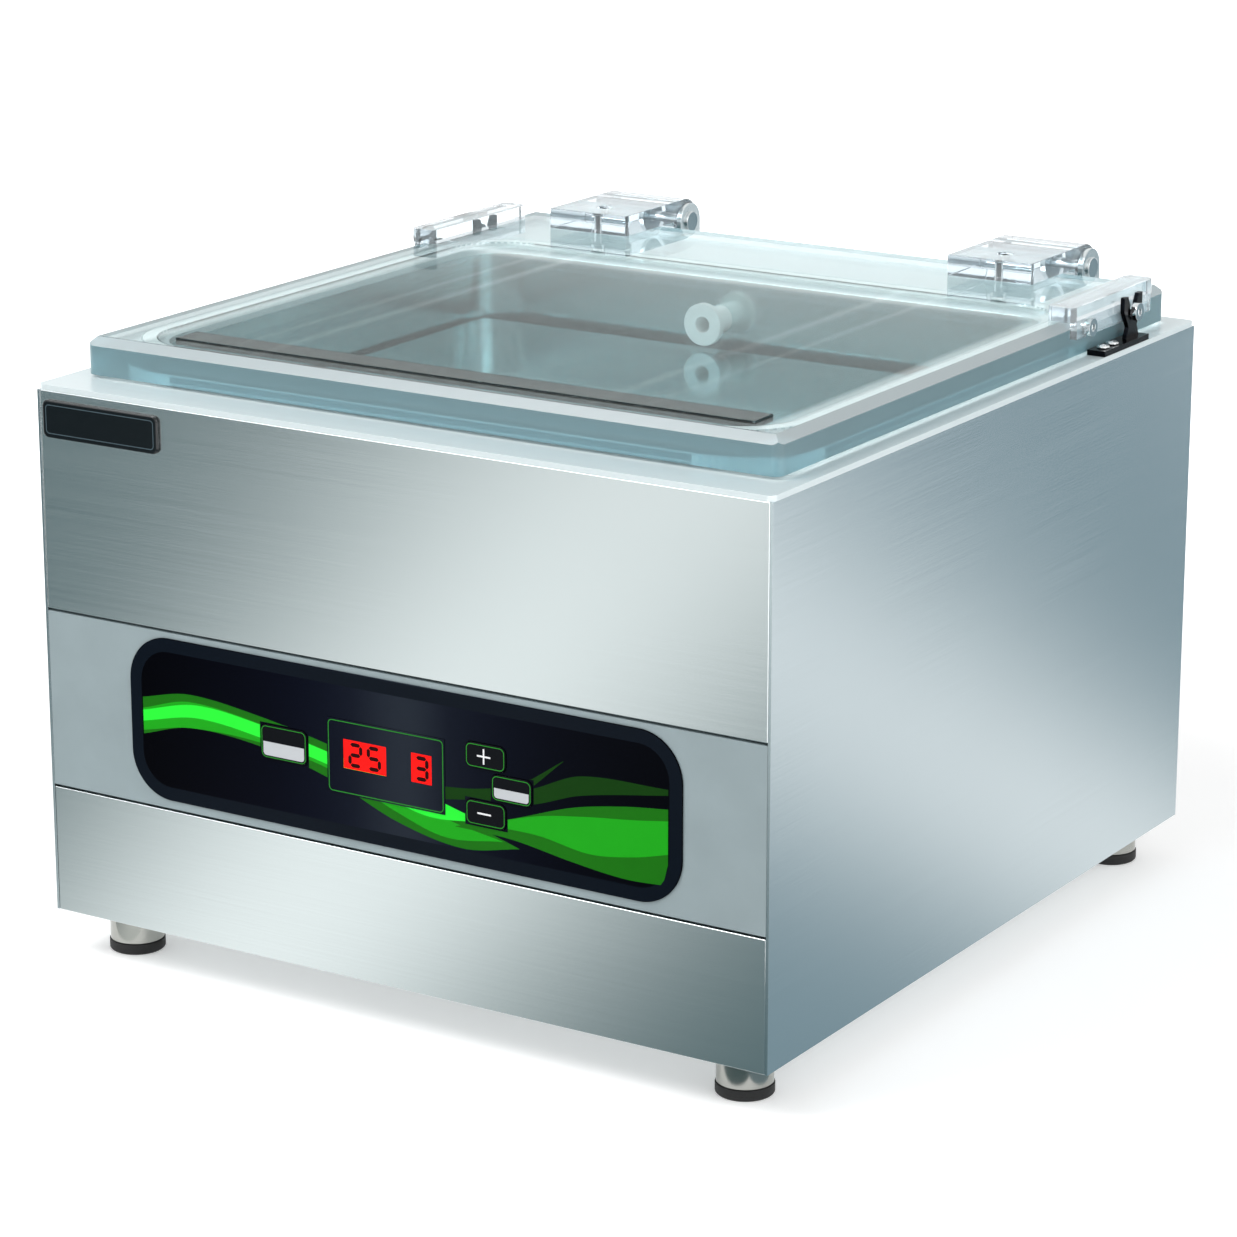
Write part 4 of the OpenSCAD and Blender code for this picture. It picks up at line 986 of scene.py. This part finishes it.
# The badge's rim line is a painted highlight: a paler grey standing for light on the dome's edge.
badge_highlight_ink = ink("painted_highlight_ink_for_badge", "#4a5960")
INKS.append(badge_highlight_ink)
rounded_copy("badge_plate", badge_gloss, edge=0.9, segments=5)
badge_centre, badge_w, badge_h = on_film("badge_plate")
rim = bmesh.new()
frame_line(rim, badge_w - 4.5, badge_h - 4.5, 2.2, 0.5, badge_highlight_ink, 0.02, centre=badge_centre,
           y=corners("badge_plate")[0].y)
finish_print(rim, "badge_edge_highlight_line", "badge_plate")
print("badge finished, mm: %.1f x %.1f" % (badge_w, badge_h))

# %% [markdown]
# ## Studio
# A plain white floor and a white world surround the machine, as in a light tent. The floor glows
# a little where it is looked at, so that it stays white, and its own shading keeps the shadow.

# %% Floor and world
FLOOR_GLOW = 0.3
FLOOR_HALF = 30


def looked_at(tree):
    """1 for rays from the camera and through or off clear and shiny things, 0 for light on a surface."""
    path = add(tree, "ShaderNodeLightPath")
    seen = add(tree, "ShaderNodeMath", links={0: path.outputs["Is Camera Ray"],
               1: path.outputs["Is Glossy Ray"]}, operation="MAXIMUM")
    return add(tree, "ShaderNodeMath", links={0: seen.outputs[0],
               1: path.outputs["Is Transmission Ray"]}, operation="MAXIMUM")


floor_mesh = bpy.data.meshes.new("floor")
floor_mesh.from_pydata([(x * FLOOR_HALF, y * FLOOR_HALF, 0) for x, y in
                        ((-1, -1), (1, -1), (1, 1), (-1, 1))], [], [(0, 1, 2, 3)])
floor = bpy.data.objects.new("floor", floor_mesh)
bpy.context.scene.collection.objects.link(floor)
floor_mat, tree, out = start_material("white_floor")
spot = add(tree, "ShaderNodeTexCoord")
far = add(tree, "ShaderNodeVectorMath", links={0: spot.outputs["Object"]}, operation="LENGTH")
glow = add(tree, "ShaderNodeMapRange", {"From Min": 0.45, "From Max": 1.3, "To Min": FLOOR_GLOW,
           "To Max": 1.0}, {"Value": far.outputs["Value"]})
lift = add(tree, "ShaderNodeMath", links={0: looked_at(tree).outputs[0], 1: glow.outputs[0]},
           operation="MULTIPLY")
paper = add(tree, "ShaderNodeBsdfPrincipled", {"Base Color": linear("#f2f2f2"), "Roughness": 0.9,
            "Specular IOR Level": 0.0, "Emission Color": (1, 1, 1, 1)},
            {"Emission Strength": lift.outputs[0]})
finish_surface(tree, out, paper)
floor_mesh.materials.append(floor_mat)

world = bpy.data.worlds.new("studio")
bpy.context.scene.world = world
world.use_nodes = True
tree = world.node_tree
tree.nodes.clear()
level = add(tree, "ShaderNodeMapRange", {"To Min": 0.65, "To Max": 1.0},
            {"Value": looked_at(tree).outputs[0]})
sky = add(tree, "ShaderNodeBackground", {"Color": (1, 1, 1, 1)}, {"Strength": level.outputs[0]})
add(tree, "ShaderNodeOutputWorld", links={0: sky.outputs[0]})
print("floor and world made, floor glow near the machine:", FLOOR_GLOW)

# %% [markdown]
# ## Camera
# The picture is taken from in front and to the right, a little above, with a long lens that keeps
# the upright edges nearly parallel.

# %% Camera
AZIMUTH, ELEVATION, DISTANCE, LENS = 32.25, 16.11, 2.3307, 121.5
AIM = Vector((-0.0374, 0.0327, 0.1478))
az, el = math.radians(AZIMUTH), math.radians(ELEVATION)
camera_data = bpy.data.cameras.new("camera")
camera_data.lens = LENS
camera_data.sensor_width = 36
camera = bpy.data.objects.new("camera", camera_data)
camera.location = AIM + DISTANCE * Vector((math.sin(az) * math.cos(el), -math.cos(az) * math.cos(el),
                                           math.sin(el)))
camera.rotation_euler = (AIM - camera.location).to_track_quat("-Z", "Y").to_euler()
bpy.context.scene.collection.objects.link(camera)
bpy.context.scene.camera = camera
bpy.context.scene.view_settings.view_transform = "Standard"
print("camera at", [round(v, 3) for v in camera.location])

# %% [markdown]
# ## Reflection cards
# Brushed steel shows whatever lies in its reflection. Seen from here the front mirrors the floor
# before it and the side mirrors the floor beside it, so each gets a card there that is seen only in
# reflections. A card's points are thrown from the mirrored camera through a grid on the panel, and
# each takes the tone wanted at its grid point: one bright slanting band with soft edges, as a long
# lamp leaves on brushed steel. A third card stands behind the machine. It darkens the glare on the
# lid's window and leaves a few streaks.

# %% Graded cards
CARD_Z = 0.6 * MM
BACK_Y = 1.2
FRONT_SLANT, SIDE_SLANT = 0.84, 0.56


def soft_band(deep_tone, bright_tone, middle, width):
    """Tone by place in mm: bright in the middle of a band, deep beyond its soft edges."""
    deep, bright = linear(deep_tone), linear(bright_tone)

    def tone(place_mm):
        share = math.exp(-((place_mm - middle) / width) ** 2)
        return [d + (b - d) * share for d, b in zip(deep, bright)]

    return tone


front_tone = soft_band("#50666a", "#e6f0f0", -105, 160)
side_tone = soft_band("#728a94", "#ccd8dc", 240, 95)


def to_floor(eye_spot, spot):
    """How far beyond a point its ray reaches the floor, as a multiple."""
    return (eye_spot.z - CARD_Z) / (eye_spot.z - spot.z)


def to_backdrop(eye_spot, spot):
    """How far beyond a point its ray reaches the upright plane behind the machine."""
    return (BACK_Y - eye_spot.y) / (spot.y - eye_spot.y)


def graded_card(name, mirrored, on_panel, tone_of, tint, spans, steps=(40, 24), reach_of=to_floor):
    """A card that a panel mirrors. on_panel(along, across) is a point on the panel."""
    (a0, a1), (z0, z1) = spans
    verts, shades, faces = [], [], []
    steel = linear(tint)
    for j in range(steps[1] + 1):
        for i in range(steps[0] + 1):
            along = a0 + (a1 - a0) * i / steps[0]
            z = z0 + (z1 - z0) * j / steps[1]
            spot = on_panel(along, z)
            verts.append(mirrored + (spot - mirrored) * reach_of(mirrored, spot))
            shades.extend([c / s for c, s in zip(tone_of(along, z), steel)])
            if i < steps[0] and j < steps[1]:
                k = j * (steps[0] + 1) + i
                faces.append((k, k + 1, k + steps[0] + 2, k + steps[0] + 1))
    mesh = bpy.data.meshes.new(name)
    mesh.from_pydata(verts, [], faces)
    shade = mesh.color_attributes.new("shade", "FLOAT_COLOR", "POINT")
    shade.data.foreach_set("color", shades)
    mat, tree, out = start_material(name + "_shade")
    tone = add(tree, "ShaderNodeVertexColor", layer_name="shade")
    light = add(tree, "ShaderNodeEmission", {"Strength": 1.0}, {"Color": tone.outputs[0]})
    finish_surface(tree, out, light)
    mesh.materials.append(mat)
    card = bpy.data.objects.new(name, mesh)
    bpy.context.scene.collection.objects.link(card)
    for ray in ("camera", "diffuse", "transmission", "volume_scatter", "shadow"):
        setattr(card, "visible_" + ray, False)
    return card


eye = camera.location
graded_card("front_card", Vector((eye.x, 2 * FRONT_Y - eye.y, eye.z)),
            lambda along, z: Vector((along, FRONT_Y, z)),
            lambda along, z: front_tone((along - FRONT_SLANT * z) / MM),
            CASE_TINT, ((-0.5, 0.42), (0.002, 0.52)))
graded_card("side_card", Vector((2 * HALF_W - eye.x, eye.y, eye.z)),
            lambda along, z: Vector((HALF_W, along, z)),
            lambda along, z: side_tone((z + SIDE_SLANT * (along - FRONT_Y)) / MM),
            SIDE_TINT, ((-0.45, 0.5), (0.002, 0.52)))
LID_Z = corners("lid_plate")[1].z
WINDOW_X, WINDOW_Y, SOFT = (-0.174, 0.191), (FRONT_Y + 0.030, FRONT_Y + 0.352), 0.006
FRONT_GLARE, GLARE_RISE = 0.045, 0.47
REAR_LINE_AT, REAR_LINE_WIDE, REAR_LINE = 0.022, 0.008, 0.85
STREAKS = [(-0.128, 0.0022, 0.20), (-0.106, 0.0035, 0.28), (0.096, 0.0035, 0.24), (0.121, 0.0022, 0.20)]


def lid_tone(x, y):
    """Dark over the window and white round it, with a few long soft streaks from front to back."""
    inside = min(x - WINDOW_X[0], WINDOW_X[1] - x, y - WINDOW_Y[0], WINDOW_Y[1] - y)
    edge = max(0.0, min(1.0, 0.5 - inside / SOFT))
    depth = (y - WINDOW_Y[0]) / (WINDOW_Y[1] - WINDOW_Y[0])
    light = FRONT_GLARE + GLARE_RISE * max(depth, 0) ** 2
    for at, wide, strength in STREAKS:
        light += strength * (0.25 + 0.75 * depth) * math.exp(-((x - at) / wide) ** 2)
    light += REAR_LINE * math.exp(-((y - WINDOW_Y[1] + REAR_LINE_AT) / REAR_LINE_WIDE) ** 2)
    light = light + (1.0 - light) * edge
    return [light * 0.94, light, light, 1.0]


graded_card("lid_card", Vector((eye.x, eye.y, 2 * LID_Z - eye.z)),
            lambda x, y: Vector((x, y, LID_Z)), lid_tone, "#ffffff",
            ((-0.2, 0.204), (FRONT_Y + 0.026, FRONT_Y + 0.37)), (200, 110), to_backdrop)

# %% [markdown]
# ## Lamps
# Two big soft boxes light the machine, the stronger one from the front left and above.

# %% Lamps
def lamp(name, at, aim, size, power):
    data = bpy.data.lights.new(name, "AREA")
    data.shape = "RECTANGLE"
    data.size, data.size_y = size
    data.energy = power
    obj = bpy.data.objects.new(name, data)
    obj.location = at
    obj.rotation_euler = (Vector(aim) - Vector(at)).to_track_quat("-Z", "Y").to_euler()
    bpy.context.scene.collection.objects.link(obj)
    return obj


lamp("key_lamp", (-0.9, -1.3, 1.9), (0, 0, 0.15), (1.2, 1.2), 27)
lamp("right_lamp", (1.9, -0.6, 1.3), (0, 0, 0.15), (1.0, 1.0), 12)
print("lamps, watts:", [(data.name, data.energy) for data in bpy.data.lights])
